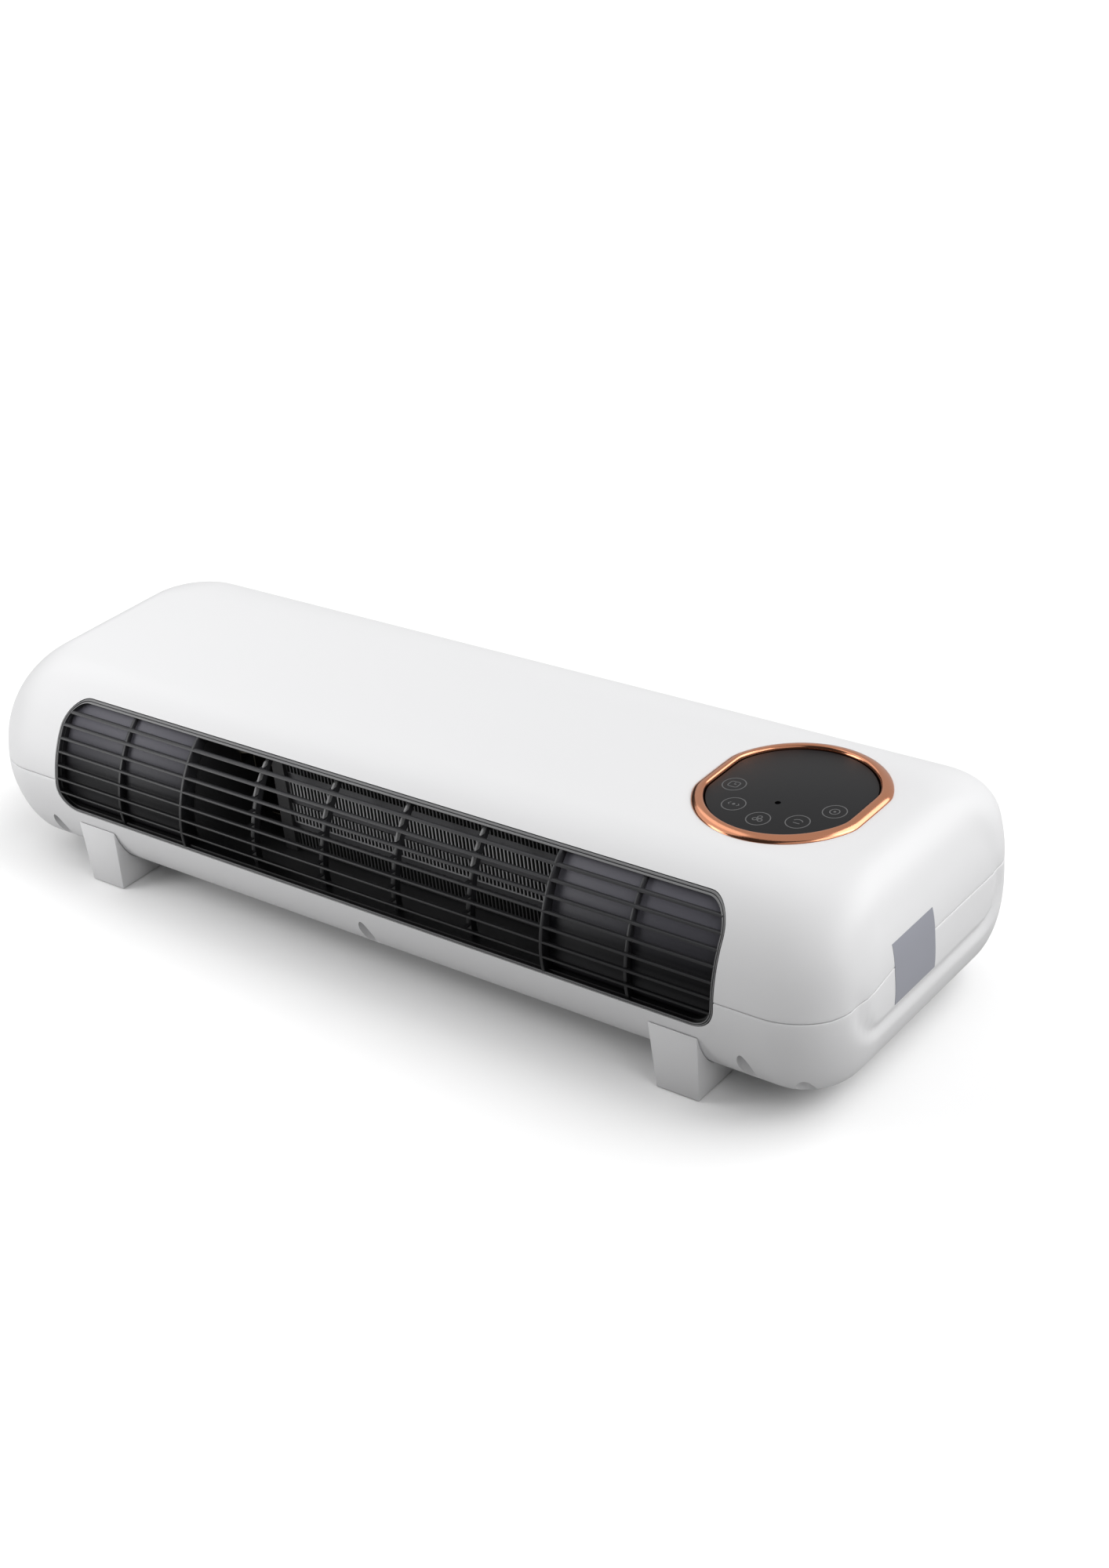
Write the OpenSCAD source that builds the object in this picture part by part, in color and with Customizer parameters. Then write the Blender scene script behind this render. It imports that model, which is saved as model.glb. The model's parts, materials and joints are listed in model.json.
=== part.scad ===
// Compact fan heater for a wall, lying on its back on two feet, front face up.
// X runs along the length, -Y is the air outlet side, +Y the air intake side.
// The origin is under the middle of the heater, on the surface it stands on.

/* [Body] */
// Length of the body along X
body_len = 480; // [470:2:560]
// Depth of the body along Y
body_depth = 155; // [153:1:175]
// Thickness of the body, from its back to its front face
body_h = 83.5; // [82:0.5:95]
// Wall of the two covers
wall = 2.5; // [2:0.25:3]
// Height of the parting line above the back
part_h = 41; // [38:0.5:43]
// Rise of the parting line between the outlet side and the intake side
part_rise = 6.5; // [4:0.5:8]
// Plan radius of the four corners
corner_r = 33; // [28:1:38]
// Plan radius of the corners at the front face
corner_top_r = 17.5; // [12:0.5:24]
// How far the outlet side curves in under the front face
front_round_y = 44; // [40:1:48]
// How far down that curve reaches
front_round_z = 54; // [50:1:58]
// How far the intake side curves in under the front face
rear_round_y = 35; // [28:1:40]
// How far down that curve reaches on the intake side
rear_round_z = 19; // [15:1:24]
// How far the ends curve in under the front face
end_round_x = 23; // [18:1:26]
// How far down the curve of the ends reaches
end_round_z = 36; // [30:1:38]
// How far the walls curve in towards the back
base_round = 19; // [16:1:22]
// How far up from the back that curve reaches
base_round_z = 41; // [38:1:44]

/* [Feet] */
// Gap between the back and the surface it stands on
foot_drop = 10.7; // [9.5:0.1:16]
// Distance from each end of the body to the middle of the foot there
foot_end = 75; // [72:1:80]
// Width of a foot at its sole
foot_sole_w = 20.5; // [18:0.5:22]
// Width of a foot at its top
foot_top_w = 23.5; // [23:0.5:26]
// Height of a foot at its front lip
foot_h = 31; // [28:0.5:31]
// Length of a foot along Y
foot_len = 130; // [124:1:134]
// Distance from the body's outlet side to the front of a foot
foot_setback = 1.5; // [1.5:0.25:3]
// Travel of a foot from locked to free
foot_travel = 14; // [12:1:16]
// Distance between a foot's two heads
head_span = 70; // [60:2:76]
// Width of a foot's head inside the body
head_w = 14; // [12:1:16]
// Thickness of that head
head_t = 2.5; // [2:0.25:3]
// Length of that head along Y
head_len = 10; // [8:1:12]
// Width of the neck below the head
neck_w = 8; // [6:0.5:9]
// Thickness of the rubber sole pads
pad_t = 2; // [1.5:0.25:3]
// How far the pads stand out of the foot
pad_out = 0.5; // [0.4:0.1:1]

/* [Outlet grille] */
// Number of cells along the grille
cell_count = 9; // [9:2:9]
// Distance from each end of the body to the grille
grille_side = 53.5; // [52:0.5:55]
// Lower edge of the grille above the back
grille_low = 26.8; // [26.5:0.1:28.5]
// Distance from the front face down to the grille's upper edge
grille_top = 7.1; // [6.5:0.1:8.5]
// Corner radius of the grille
grille_r = 12; // [8:1:16]
// Width of the grille's frame seen from the front
frame_w = 2.2; // [2:0.1:2.6]
// Depth of the grille's frame
frame_d = 8; // [7.5:0.25:8.5]
// Number of bars along the grille
bar_count = 7; // [5:1:9]
// Thickness of a bar
bar_t = 1.2; // [1:0.1:1.6]
// Depth of a bar
bar_d = 1.8; // [1.6:0.1:2.6]
// Thickness of the upright ribs beside the blank panels
rib_t = 1.6; // [1.4:0.1:2.2]
// Thickness of the middle ribs
mid_rib_t = 2.4; // [1.8:0.1:2.8]
// Setback of the middle ribs behind the front of the bars
rib_set = 4.5; // [3.5:0.25:5]
// Setback of the blank panels behind the front of the bars
blank_set = 4.3; // [4:0.1:5.5]
// Thickness of the blank panels
blank_t = 1.5; // [1.2:0.1:2]

/* [Intake grille] */
// Lower edge of the intake above the back
intake_low = 26; // [25:0.5:28]
// Distance from the front face down to the intake's upper edge
intake_top = 19.5; // [18.5:0.5:23.5]
// Corner radius of the intake
intake_r = 8; // [5:1:12]
// Number of louvres
louvre_count = 8; // [6:1:9]
// Number of upright ribs
intake_rib_count = 7; // [5:1:9]
// Thickness of the filter
filter_t = 2; // [1.6:0.2:3]

/* [Control panel] */
// Distance from the right end of the body to the middle of the ring
ring_end = 72; // [70:1:78]
// Distance from the middle of the body to the middle of the ring along Y
ring_y = 11.5; // [8:0.5:12]
// Outer radius of the ring
ring_r = 40.4; // [39.5:0.1:41]
// Half width of the ring across its flat sides
ring_flat = 39; // [38.2:0.1:39.2]
// Width of the ring
ring_w = 5.6; // [5:0.1:6]
// Height of the ring above the front face
ring_rise = 2; // [1.5:0.1:2.5]
// Thickness of the glass
glass_t = 1.7; // [1.4:0.1:2]
// Height of the glass above the front face
glass_rise = 0.5; // [0.2:0.1:0.8]
// Number of touch keys
key_count = 5; // [4:1:6]
// Radius of the arc that the keys lie on
key_arc_r = 24.5; // [22:0.5:25]
// Angle between two keys
key_step = 38; // [34:1:40]
// Radius of a key's pad
key_r = 4.5; // [4:0.25:5]

/* [Heater core] */
// First cell that the core stands behind
core_first_cell = 3; // [3:1:3]
// Last cell edge that the core stands behind
core_last_cell = 7; // [7:1:7]
// Lower edge of the core above the back
core_low = 22.6; // [22:0.2:24]
// Distance from the front face down to the core's upper edge
core_top = 11.2; // [11:0.1:12.5]
// Depth of the core
core_d = 14; // [12:0.5:15]
// Setback of the core's face behind the outlet side of the body
core_set = 31.5; // [31:0.5:33]
// Number of fin rows
fin_rows = 4; // [3:1:5]
// Distance from one fold to the next in a fin row
fin_pitch = 2.06; // [1.8:0.02:3]
// Thickness of the fin strip
fin_t = 0.35; // [0.3:0.05:0.45]
// Height of the heating tubes
tube_h = 3; // [2.5:0.25:3.5]
// Thickness of the outer rails
rail_t = 1; // [0.8:0.1:1.2]
// Length of each end holder
core_end_len = 7; // [6:0.5:7]

/* [Blower] */
// How far the blower housing reaches past the open cells on the left
blower_left = 1; // [1:0.25:3]
// How far it reaches past them on the right
blower_right = 9.5; // [9.5:0.5:11]
// Distance of the blower's axis from the middle along Y
blower_y = 14; // [12:0.5:16]
// Height of the blower's axis above the middle of the body's thickness
blower_rise = 0.25; // [-0.75:0.25:1.25]
// Radius of the wheel
wheel_r = 26; // [24:0.5:27]
// Number of blades
blade_count = 28; // [24:1:32]
// Thickness of a blade
blade_t = 0.9; // [0.8:0.05:1.1]
// Depth of a blade
blade_d = 5.4; // [4.5:0.1:6]
// Thickness of the wheel's discs
disc_t = 2; // [1.5:0.25:2.5]
// Gap between the wheel and the plates beside it
wheel_gap = 6.5; // [6.5:0.5:8]
// Gap between the wheel and the guide round it
guide_gap = 3; // [2.5:0.25:3.5]
// Thickness of the guides and the side plates
guide_t = 2; // [1.6:0.2:2.2]
// Radius of the shaft
shaft_r = 2.5; // [2:0.25:3]

/* [Motor] */
// Outer radius of the motor
motor_r = 22; // [20:0.5:22]
// Radius of the rotor
rotor_r = 12.6; // [11.5:0.1:13]
// Air gap round the rotor
air_gap = 0.5; // [0.4:0.1:0.7]
// Length of the stator
stator_len = 15; // [12:0.5:17]
// Length of the windings at each side
coil_len = 4; // [3:0.5:5]
// Thickness of the brackets
bracket_t = 2; // [1.6:0.2:2.5]
// Gap between the side plate and the motor
motor_stand = 9; // [8:0.5:10]
// Distance of the long motor screws from the axis
motor_screw_y = 25; // [25:0.5:27]

/* [Electrics] */
// Length of the power board
board_len = 84; // [80:1:88]
// Width of the power board
board_w = 66; // [60:1:70]
// Thickness of the circuit boards
board_t = 1.6; // [1.2:0.2:2]
// Distance from the right end of the body to the middle of the power board
board_end = 73; // [70:1:75]
// Height of the board's posts
post_h = 6; // [5:0.5:8]
// Length of the switch's opening
switch_len = 19.5; // [18:0.5:21]
// Height of the switch's opening
switch_w = 13; // [12:0.5:14]
// Distance of the switch from the middle along Y
switch_y = 20; // [16:1:24]
// Height of the switch and the cord inlet above the back
side_h = 27; // [26:0.5:28]
// Distance of the cord inlet from the middle along Y
inlet_y = -26; // [-28:1:-22]
// Radius of the cord inlet's bore
inlet_r = 3.6; // [3:0.1:4.2]
// Setback of the flat seats behind the left end
side_set = 5; // [4.5:0.25:5.5]

/* [Wall mounting] */
// Distance from a foot to the keyhole beside it
key_gap = 35; // [30:1:45]
// Radius of a keyhole's head
key_head_r = 4.5; // [4:0.25:5]
// Width of a keyhole's slot
key_slot_w = 4.4; // [4:0.1:4.6]
// Length of the slot beyond the middle of the head
key_slot_len = 10; // [9:1:12]
// Distance of the keyholes from the middle along Y
key_y = 36; // [33:1:38]

/* [Screws and fits] */
// Radius of the housing screws' heads
screw_head_r = 2.9; // [2.5:0.1:3]
// Radius of the screws' shanks
screw_r = 1.5; // [1.2:0.1:1.7]
// Clearance between parts that stay put
fit = 0.3; // [0.2:0.05:0.4]
// Radial running clearance of the shaft and the rocker's pin
running = 0.05; // [0.03:0.01:0.08]

/* [Hidden] */
$fn = 48;
slab = 0.01;        // thickness of the slices that a smooth form is drawn over
level_step = 10;    // angle between two slices of a rounding
arc_steps = 8;      // straight pieces in a quarter of a corner
far = 400;          // longer than any cut

z_base = foot_drop;
z_top = z_base + body_h;
z_part = z_base + part_h;
z_axis = z_base + body_h / 2 + blower_rise;
half_len = body_len / 2;
half_depth = body_depth / 2;
foot_x = half_len - foot_end;
key_x = foot_x - key_gap;
ring_x = half_len - ring_end;
board_x = half_len - board_end;

// Inset of an elliptical rounding, h deep and v tall, at a distance d from its end
function quarter(d, h, v) = d >= v ? 0 : h * (1 - sqrt(1 - pow(1 - max(d, 0) / v, 2)));
function base_in(z, w) = quarter(z - z_base - w, base_round - w, base_round_z - w);
function front_in(z, w) = quarter(z_top - w - z, front_round_y - w, front_round_z - w) + base_in(z, w);
function rear_in(z, w) = quarter(z_top - w - z, rear_round_y - w, rear_round_z - w) + base_in(z, w);
function end_in(z, w) = quarter(z_top - w - z, end_round_x - w, end_round_z - w) + base_in(z, w);

// The two curves of the outlet side meet, so its fullest level is brought out to the full depth
relief = min([for (z = [z_base + 20 : 0.1 : z_top - 20]) front_in(z, 0)]);
function front_y(z) = -half_depth + front_in(z, 0) - relief;
function rear_y(z) = half_depth - rear_in(z, 0);

function corner_at(z, w) =
    max(2, corner_r - w - base_in(z, w)
        - (corner_r - corner_top_r) * quarter(z_top - w - z, 1, front_round_z - w));

// Outline of the body at height z, set in by a wall w
function outline(z, w) =
    let (x = half_len - w - end_in(z, w),
         yf = -half_depth + w + front_in(z, w) - relief,
         yr = half_depth - w - rear_in(z, w),
         r = corner_at(z, w))
    [for (c = [[x - r, yr - r, 0], [r - x, yr - r, 90], [r - x, yf + r, 180], [x - r, yf + r, 270]])
        for (i = [0 : arc_steps])
            let (a = c[2] + 90 * i / arc_steps) [c[0] + r * cos(a), c[1] + r * sin(a)]];

function levels(w) = concat(
    [for (a = [0 : level_step : 90]) z_base + w + (base_round_z - w) * (1 - sin(a))],
    [for (a = [0 : level_step : 90]) z_top - w - (front_round_z - w) * (1 - sin(a))]);

// The body's smooth outer form, set in by w
module form(w) {
    hull()
        for (z = levels(w))
            translate([0, 0, z > z_part ? z - slab : z])
                linear_extrude(slab) polygon(outline(z, w));
}

// A profile drawn in Y and Z, drawn out along X
module along_x(x0, x1) {
    translate([x0, 0, 0]) rotate([90, 0, 90]) linear_extrude(x1 - x0) children();
}

// A profile drawn in X and Z, drawn out along Y
module along_y(y0, y1) {
    translate([0, y1, 0]) rotate([90, 0, 0]) linear_extrude(y1 - y0) children();
}

module rod_x(x0, x1, r) {
    translate([x0, 0, 0]) rotate([0, 90, 0]) cylinder(h = x1 - x0, r = r);
}

module block(x0, x1, y0, y1, z0, z1) {
    translate([x0, y0, z0]) cube([x1 - x0, y1 - y0, z1 - z0]);
}

module rounded_rect(x0, x1, z0, z1, r) {
    union() {
        translate([x0 + r, z0]) square([x1 - x0 - 2 * r, z1 - z0]);
        translate([x0, z0 + r]) square([x1 - x0, z1 - z0 - 2 * r]);
        for (x = [x0 + r, x1 - r])
            for (z = [z0 + r, z1 - r])
                translate([x, z]) circle(r);
    }
}

function reversed(v) = [for (i = [len(v) - 1 : -1 : 0]) v[i]];

// The parting line rises along the ends, from the outlet side to the intake side
ramp_y0 = -66;
ramp_y1 = -30;
function part_path(dz) = [[-far, z_part + dz], [ramp_y0, z_part + dz],
                          [ramp_y1, z_part + part_rise + dz], [far, z_part + part_rise + dz]];

module part_band(low, high) {
    along_x(-far, far) polygon(concat(part_path(low), reversed(part_path(high))));
}

module under_part(gap) {
    along_x(-far, far) polygon(concat([[far, -far], [-far, -far]], part_path(gap)));
}

// Housing screws: six along the two long sides and one in each corner
screw_x = half_len - 44;
screw_y = half_depth - 8;
side_screws = [for (x = [-screw_x, screw_x]) for (s = [-1, 1]) [x, s * screw_y]];
mid_screws = [for (s = [-1, 1]) [0, s * screw_y]];
corner_screws = [for (sx = [-1, 1]) for (sy = [-1, 1]) [sx * (half_len - 21.5), sy * (half_depth - 14)]];
cover_screws = concat(side_screws, corner_screws);
all_screws = concat(cover_screws, mid_screws);
shelf_z = z_base + 20;       // where the screw heads seat
boss_top = shelf_z + 3;
screw_in = 4.2;              // length of a screw in the piece it holds
well_r = screw_head_r + 0.6;
boss_r = well_r + 1.5;
post_r = 3;

module bores(places, z0, z1, r) {
    for (p = places)
        translate([p[0], p[1], z0]) cylinder(h = z1 - z0, r = r);
}

// Openings of the two covers
grille_x = half_len - grille_side;
cell_w = 2 * (grille_x - frame_w / 2) / cell_count;
rib_xs = [for (k = [1 : cell_count - 1]) (k - cell_count / 2) * cell_w];
open_x0 = rib_xs[1];
open_x1 = rib_xs[cell_count - 3];
mid_xs = [for (x = rib_xs) if (x > open_x0 + 1 && x < open_x1 - 1) x];
blower_x0 = open_x0 - blower_left;
blower_x1 = open_x1 + blower_right;
z_grille0 = z_base + grille_low;
z_grille1 = z_top - grille_top;
z_intake0 = z_base + intake_low;
z_intake1 = z_top - intake_top;

module grille_hole(gap) {
    along_y(-half_depth - 5, -half_depth + 45)
        rounded_rect(-grille_x - gap, grille_x + gap, z_grille0 - gap, z_grille1 + gap, grille_r + gap);
}

module intake_hole(gap) {
    along_y(half_depth - 14, half_depth + 5)
        rounded_rect(blower_x0 - gap, blower_x1 + gap, z_intake0 - gap, z_intake1 + gap, intake_r + gap);
}

// Rating label, in a shallow pocket across the parting line of the right end
label_w = 30;
label_y = -15.8;
label_z0 = z_base + 30;
label_z1 = z_base + 57.5;
label_in = [0.1, 0.3, 0.45];    // its outer face, its inner face and the floor of the pocket

module label_block(gap) {
    block(half_len - 8, half_len + 5, label_y - label_w / 2 - gap, label_y + label_w / 2 + gap,
          label_z0 - gap, label_z1 + gap);
}

module label_pocket() {
    difference() {
        label_block(0.2);
        form(label_in[2]);
    }
}

module rating_label() color("silver") difference() {
    intersection() {
        form(label_in[0]);
        label_block(0);
    }
    form(label_in[1]);
}

// Control panel
skirt_in = ring_w - 2;          // from the ring's outer edge to its skirt
carrier_z1 = z_top - wall - 2.8;
carrier_z0 = carrier_z1 - 2.5;
glass_z0 = z_top + glass_rise - glass_t;
board_top = carrier_z0 - fit;
panel_bolt = 33;                // the carrier's four screws, from the middle along X and Y
panel_ears = [for (sx = [-1, 1]) for (sy = [-1, 1]) [ring_x + sx * panel_bolt, ring_y + sy * panel_bolt]];
board_ears = [for (s = [-1, 1]) [ring_x + s * 29, ring_y + 14]];
key_a0 = 270 - key_step * (key_count - 1) / 2;
key_places = [for (i = [0 : key_count - 1])
    let (a = key_a0 + i * key_step) [ring_x + key_arc_r * cos(a), ring_y + key_arc_r * sin(a)]];
display_size = [22, 11];        // the display stands behind the middle of the glass
receiver_at = [ring_x, ring_y - 10.3];

// Plan of the ring and the glass: a circle with two flat sides
module barrel(inset) {
    intersection() {
        circle(ring_r - inset, $fn = 96);
        square([2 * (ring_flat - inset), 2 * ring_r + 1], center = true);
    }
}

module at_panel(z) {
    translate([ring_x, ring_y, z]) children();
}

module barrel_ring(outer, inner, z0, z1) {
    at_panel(z0) linear_extrude(z1 - z0) difference() {
        barrel(outer);
        barrel(inner);
    }
}

module copper_ring() color("peru") difference() {
    union() {
        barrel_ring(0, ring_w, z_top - 1.5, z_top + ring_rise * 0.6);
        barrel_ring(0.9, ring_w - 0.7, z_top, z_top + ring_rise);
        barrel_ring(skirt_in, ring_w, z_top - wall, z_top);
    }
    difference() {
        form(-0.1);
        at_panel(0) linear_extrude(far) barrel(skirt_in);
    }
}

module touch_glass() color("dimgray") at_panel(glass_z0) linear_extrude(glass_t) barrel(ring_w + 0.15);

module glass_carrier() color("darkgray") difference() {
    union() {
        at_panel(carrier_z0) linear_extrude(carrier_z1 - carrier_z0) union() {
            circle(ring_r + 1);
            for (a = [45, 135])
                rotate(a) square([2 * panel_bolt * sqrt(2), 7.6], center = true);
            for (sx = [-1, 1])
                for (sy = [-1, 1])
                    translate([sx * panel_bolt, sy * panel_bolt]) circle(4.5);
        }
        at_panel(carrier_z0) linear_extrude(glass_z0 - 0.1 - carrier_z0) barrel(ring_w + fit);
    }
    bores(key_places, carrier_z0 - 1, far, key_r + 0.6);
    at_panel(far / 2) cube([display_size[0] + 1, display_size[1] + 1, far], center = true);
    bores([receiver_at], carrier_z0 - 1, far, 3.6);
    bores(panel_ears, carrier_z0 - 1, far, screw_r + 0.2);
    bores(board_ears, carrier_z0 - 1, carrier_z0 + 4, screw_r + running);
}

module screw_up(p, z, length) {
    translate([p[0], p[1], z - 1.8]) cylinder(h = 1.8, r = screw_head_r);
    translate([p[0], p[1], z - 1]) cylinder(h = length + 1, r = screw_r);
}

module screw_down(p, z, length) {
    translate([p[0], p[1], z]) cylinder(h = 1.8, r = screw_head_r);
    translate([p[0], p[1], z - length]) cylinder(h = length + 1, r = screw_r);
}

panel_screw_len = 5;

module panel_screws() color("silver") union() {
    for (p = panel_ears)
        screw_up(p, carrier_z0, panel_screw_len);
    for (p = board_ears)
        screw_up(p, board_top - board_t, panel_screw_len);
}

module touch_board() color("darkgreen") difference() {
    translate([ring_x, ring_y, board_top - board_t]) cylinder(h = board_t, r = ring_r - 5);
    bores(board_ears, 0, far, screw_r + 0.2);
}

module touch_pads() color("gold") difference() {
    bores(key_places, board_top, glass_z0 - 0.05, key_r);
    bores(key_places, board_top - 1, far, key_r - 0.8);
}

module display_module() color("black") difference() {
    at_panel((board_top + glass_z0) / 2)
        cube([display_size[0], display_size[1], glass_z0 - board_top - 0.6], center = true);
    for (s = [-1, 1])
        at_panel(glass_z0)
            translate([s * display_size[0] / 4, 0, 0])
                cube([display_size[0] / 2 - 2, display_size[1] - 2, 2], center = true);
}

module ir_receiver() color("black") union() {
    translate([receiver_at[0] - 2.4, receiver_at[1] - 1.6, board_top]) cube([4.8, 3.2, 4]);
    translate([receiver_at[0], receiver_at[1], board_top]) cylinder(h = 6, r = 1.5);
}

// Front cover
module front_posts() {
    bores(cover_screws, boss_top + fit, z_top, post_r);
}

module panel_bosses() {
    bores(panel_ears, carrier_z1 + fit, z_top, 3.6);
}

module front_cover() color("white") difference() {
    union() {
        difference() {
            form(0);
            form(wall);
            under_part(fit / 2);
        }
        intersection() {
            form(wall - 0.5);
            union() {
                front_posts();
                panel_bosses();
            }
        }
    }
    grille_hole(fit);
    intake_hole(fit);
    at_panel(z_top - wall - 1) linear_extrude(wall + 2) barrel(skirt_in - fit);
    label_pocket();
    bores(cover_screws, boss_top, boss_top + 14, screw_r + running);
    bores(panel_ears, carrier_z1, carrier_z0 + panel_screw_len + 0.5, screw_r + running);
}

// Rear cover
lip_t = 1.2;
lip_h = 3;
head_ys = [for (s = [-1, 1]) s * head_span / 2];
board_z = z_base + wall + post_h;
board_posts = [for (sx = [-1, 1]) for (sy = [-1, 1])
    [board_x + sx * (board_len / 2 - 5), sy * (board_w / 2 - 5)]];
z_side = z_base + side_h;
seat_x = -half_len + side_set;
seat_t = 3;
switch_hl = switch_len / 2;
switch_hw = switch_w / 2;
pocket_hl = switch_hl + 3;
pocket_hw = switch_hw + 2.5;
inlet_hole_r = inlet_r + 2.4;
inlet_flange_r = inlet_r + 5;
clamp_x = seat_x + 24;
clamp_posts = [for (s = [-1, 1]) [clamp_x, inlet_y + s * 13]];
clamp_z = z_side - inlet_r - 1.5;

module at_inlet() {
    translate([0, inlet_y, z_side]) children();
}

// The tongue that stands up behind the edge of the front cover
module cover_lip() {
    difference() {
        union() {
            intersection() {
                form(wall + fit);
                part_band(-2 * lip_h, lip_h);
            }
            intersection() {
                form(wall - 0.5);
                part_band(-2 * lip_h, -lip_h);
            }
        }
        form(wall + fit + lip_t);
        grille_hole(2);
        intake_hole(2);
        bores(all_screws, 0, far, post_r + 0.5);
    }
}

module foot_slots() {
    for (x = [-foot_x, foot_x])
        for (y = head_ys) {
            block(x - neck_w / 2 - fit, x + neck_w / 2 + fit,
                  y - head_len / 2 - foot_travel - fit, y + head_len / 2 + fit,
                  z_base - 1, z_base + wall + 1);
            block(x - head_w / 2 - fit, x + head_w / 2 + fit,
                  y - head_len / 2 - foot_travel - fit, y + head_len / 2 - foot_travel + fit,
                  z_base - 1, z_base + wall + 1);
        }
}

module keyholes() {
    for (x = [-key_x, key_x])
        translate([x, key_y, z_base - 1]) {
            cylinder(h = wall + 2, r = key_head_r);
            translate([-key_slot_w / 2, 0, 0]) cube([key_slot_w, key_slot_len, wall + 2]);
            translate([0, key_slot_len, 0]) cylinder(h = wall + 2, r = key_slot_w / 2);
        }
}

module side_pockets() {
    block(-far, seat_x, switch_y - pocket_hl, switch_y + pocket_hl, z_side - pocket_hw, z_side + pocket_hw);
    at_inlet() rod_x(-far, seat_x, inlet_flange_r + 1);
}

module side_seats() {
    block(-half_len, seat_x + seat_t, switch_y - pocket_hl - 2, switch_y + pocket_hl + 2,
          z_side - pocket_hw - 2, z_side + pocket_hw + 2);
    at_inlet() rod_x(-half_len, seat_x + seat_t, inlet_flange_r + 3);
}

module rear_cover() color("whitesmoke") difference() {
    union() {
        intersection() {
            form(0);
            union() {
                difference() {
                    under_part(-fit / 2);
                    form(wall);
                }
                bores(all_screws, z_base, boss_top, boss_r);
                bores(board_posts, z_base + 1, board_z, 3.5);
                bores(clamp_posts, z_base + 1, clamp_z, 3.5);
                side_seats();
            }
        }
        cover_lip();
    }
    grille_hole(fit);
    intake_hole(fit);
    label_pocket();
    foot_slots();
    keyholes();
    side_pockets();
    block(seat_x - 1, seat_x + seat_t + 1, switch_y - switch_hl, switch_y + switch_hl,
          z_side - switch_hw, z_side + switch_hw);
    at_inlet() rod_x(seat_x - 1, seat_x + seat_t + 1, inlet_hole_r);
    bores(all_screws, -1, shelf_z, well_r);
    bores(all_screws, shelf_z - 1, boss_top + 1, screw_r + 0.2);
    bores(board_posts, board_z - 6, board_z + 1, screw_r + running);
    bores(clamp_posts, clamp_z - 8, clamp_z + 1, screw_r + running);
}

module housing_screws() color("silver") {
    for (p = all_screws)
        screw_up(p, shelf_z, boss_top - shelf_z + fit + screw_in);
}

// Outlet grille, on the curved outlet side
lug_top = boss_top + fit + screw_in + 0.8;

module front_band(near, deep) {
    zs = [for (i = [0 : 32]) z_grille0 - 4 + (z_grille1 - z_grille0 + 8) * i / 32];
    along_x(-far, far)
        polygon(concat([for (z = zs) [front_y(z) + near, z]],
                       reversed([for (z = zs) [front_y(z) + deep, z]])));
}

module grille_outline(inset, y1) {
    along_y(-half_depth - 5, y1)
        rounded_rect(-grille_x + inset, grille_x - inset, z_grille0 + inset, z_grille1 - inset,
                     grille_r - inset);
}

// Heights of the bars, evenly spaced along the curve from the upper edge down
arc_n = 100;
arc_dz = (z_grille1 - z_grille0) / arc_n;
function arc_y(i) = front_y(z_grille1 - i * arc_dz);
arc_table = [for (i = 0, s = 0; i <= arc_n; s = s + norm([arc_dz, arc_y(i) - arc_y(i + 1)]), i = i + 1)
    [s, z_grille1 - i * arc_dz]];
arc_len = arc_table[arc_n][0];
bar_zs = [for (i = [1 : bar_count])
    lookup(frame_w + i * (arc_len - 2 * frame_w) / (bar_count + 1), arc_table)];

module grille_ribs(xs, t, near, deep) {
    intersection() {
        grille_outline(frame_w / 2, -half_depth + 40);
        front_band(near, deep);
        for (x = xs)
            block(x - t / 2, x + t / 2, -half_depth - 5, 0, 0, far);
    }
}

// Short ties join the bars to the middle ribs behind them
module bar_ties(xs) {
    for (z = bar_zs)
        for (x = xs)
            block(x - mid_rib_t / 2 + 0.2, x + mid_rib_t / 2 - 0.2,
                  front_y(z) + bar_d - 0.8, front_y(z) + rib_set + 1.5,
                  z - bar_t / 2 + 0.1, z + bar_t / 2 - 0.1);
}

module outlet_grille() color("dimgray") difference() {
    union() {
        difference() {
            intersection() {
                grille_outline(0, -half_depth + 40);
                front_band(0, frame_d);
            }
            grille_outline(frame_w, far);
        }
        difference() {
            intersection() {
                grille_outline(-1.6, -half_depth + 40);
                front_band(frame_d - 2, frame_d);
            }
            grille_outline(frame_w, far);
        }
        intersection() {
            grille_outline(frame_w / 2, -half_depth + 40);
            front_band(0, bar_d);
            for (z = bar_zs)
                block(-far, far, -half_depth - 5, 0, z - bar_t / 2, z + bar_t / 2);
        }
        grille_ribs([rib_xs[0], rib_xs[cell_count - 2]], rib_t, bar_d - 0.6, blank_set - fit);
        grille_ribs([open_x0, open_x1], rib_t, 0, frame_d);
        grille_ribs(mid_xs, mid_rib_t, rib_set, frame_d);
        bar_ties(mid_xs);
        translate([0, -screw_y, boss_top + fit]) cylinder(h = lug_top - boss_top - fit, r = post_r);
    }
    bores([[0, -screw_y]], 0, lug_top - 0.5, screw_r + running);
}

module blank(x0, x1) {
    intersection() {
        grille_outline(frame_w + fit, -half_depth + 40);
        front_band(blank_set, blank_set + blank_t);
        block(x0, x1, -half_depth - 5, 0, 0, far);
    }
}

module blank_left() color("gray") blank(-far, open_x0 - rib_t / 2 - fit);

module blank_right() color("gray") blank(open_x1 + rib_t / 2 + fit, far);

// Intake grille and filter, on the intake side
intake_d = 6;
intake_frame = 2.2;
z_filter0 = z_intake0 + 3;
z_filter1 = z_intake1 - 1.5;

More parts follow.
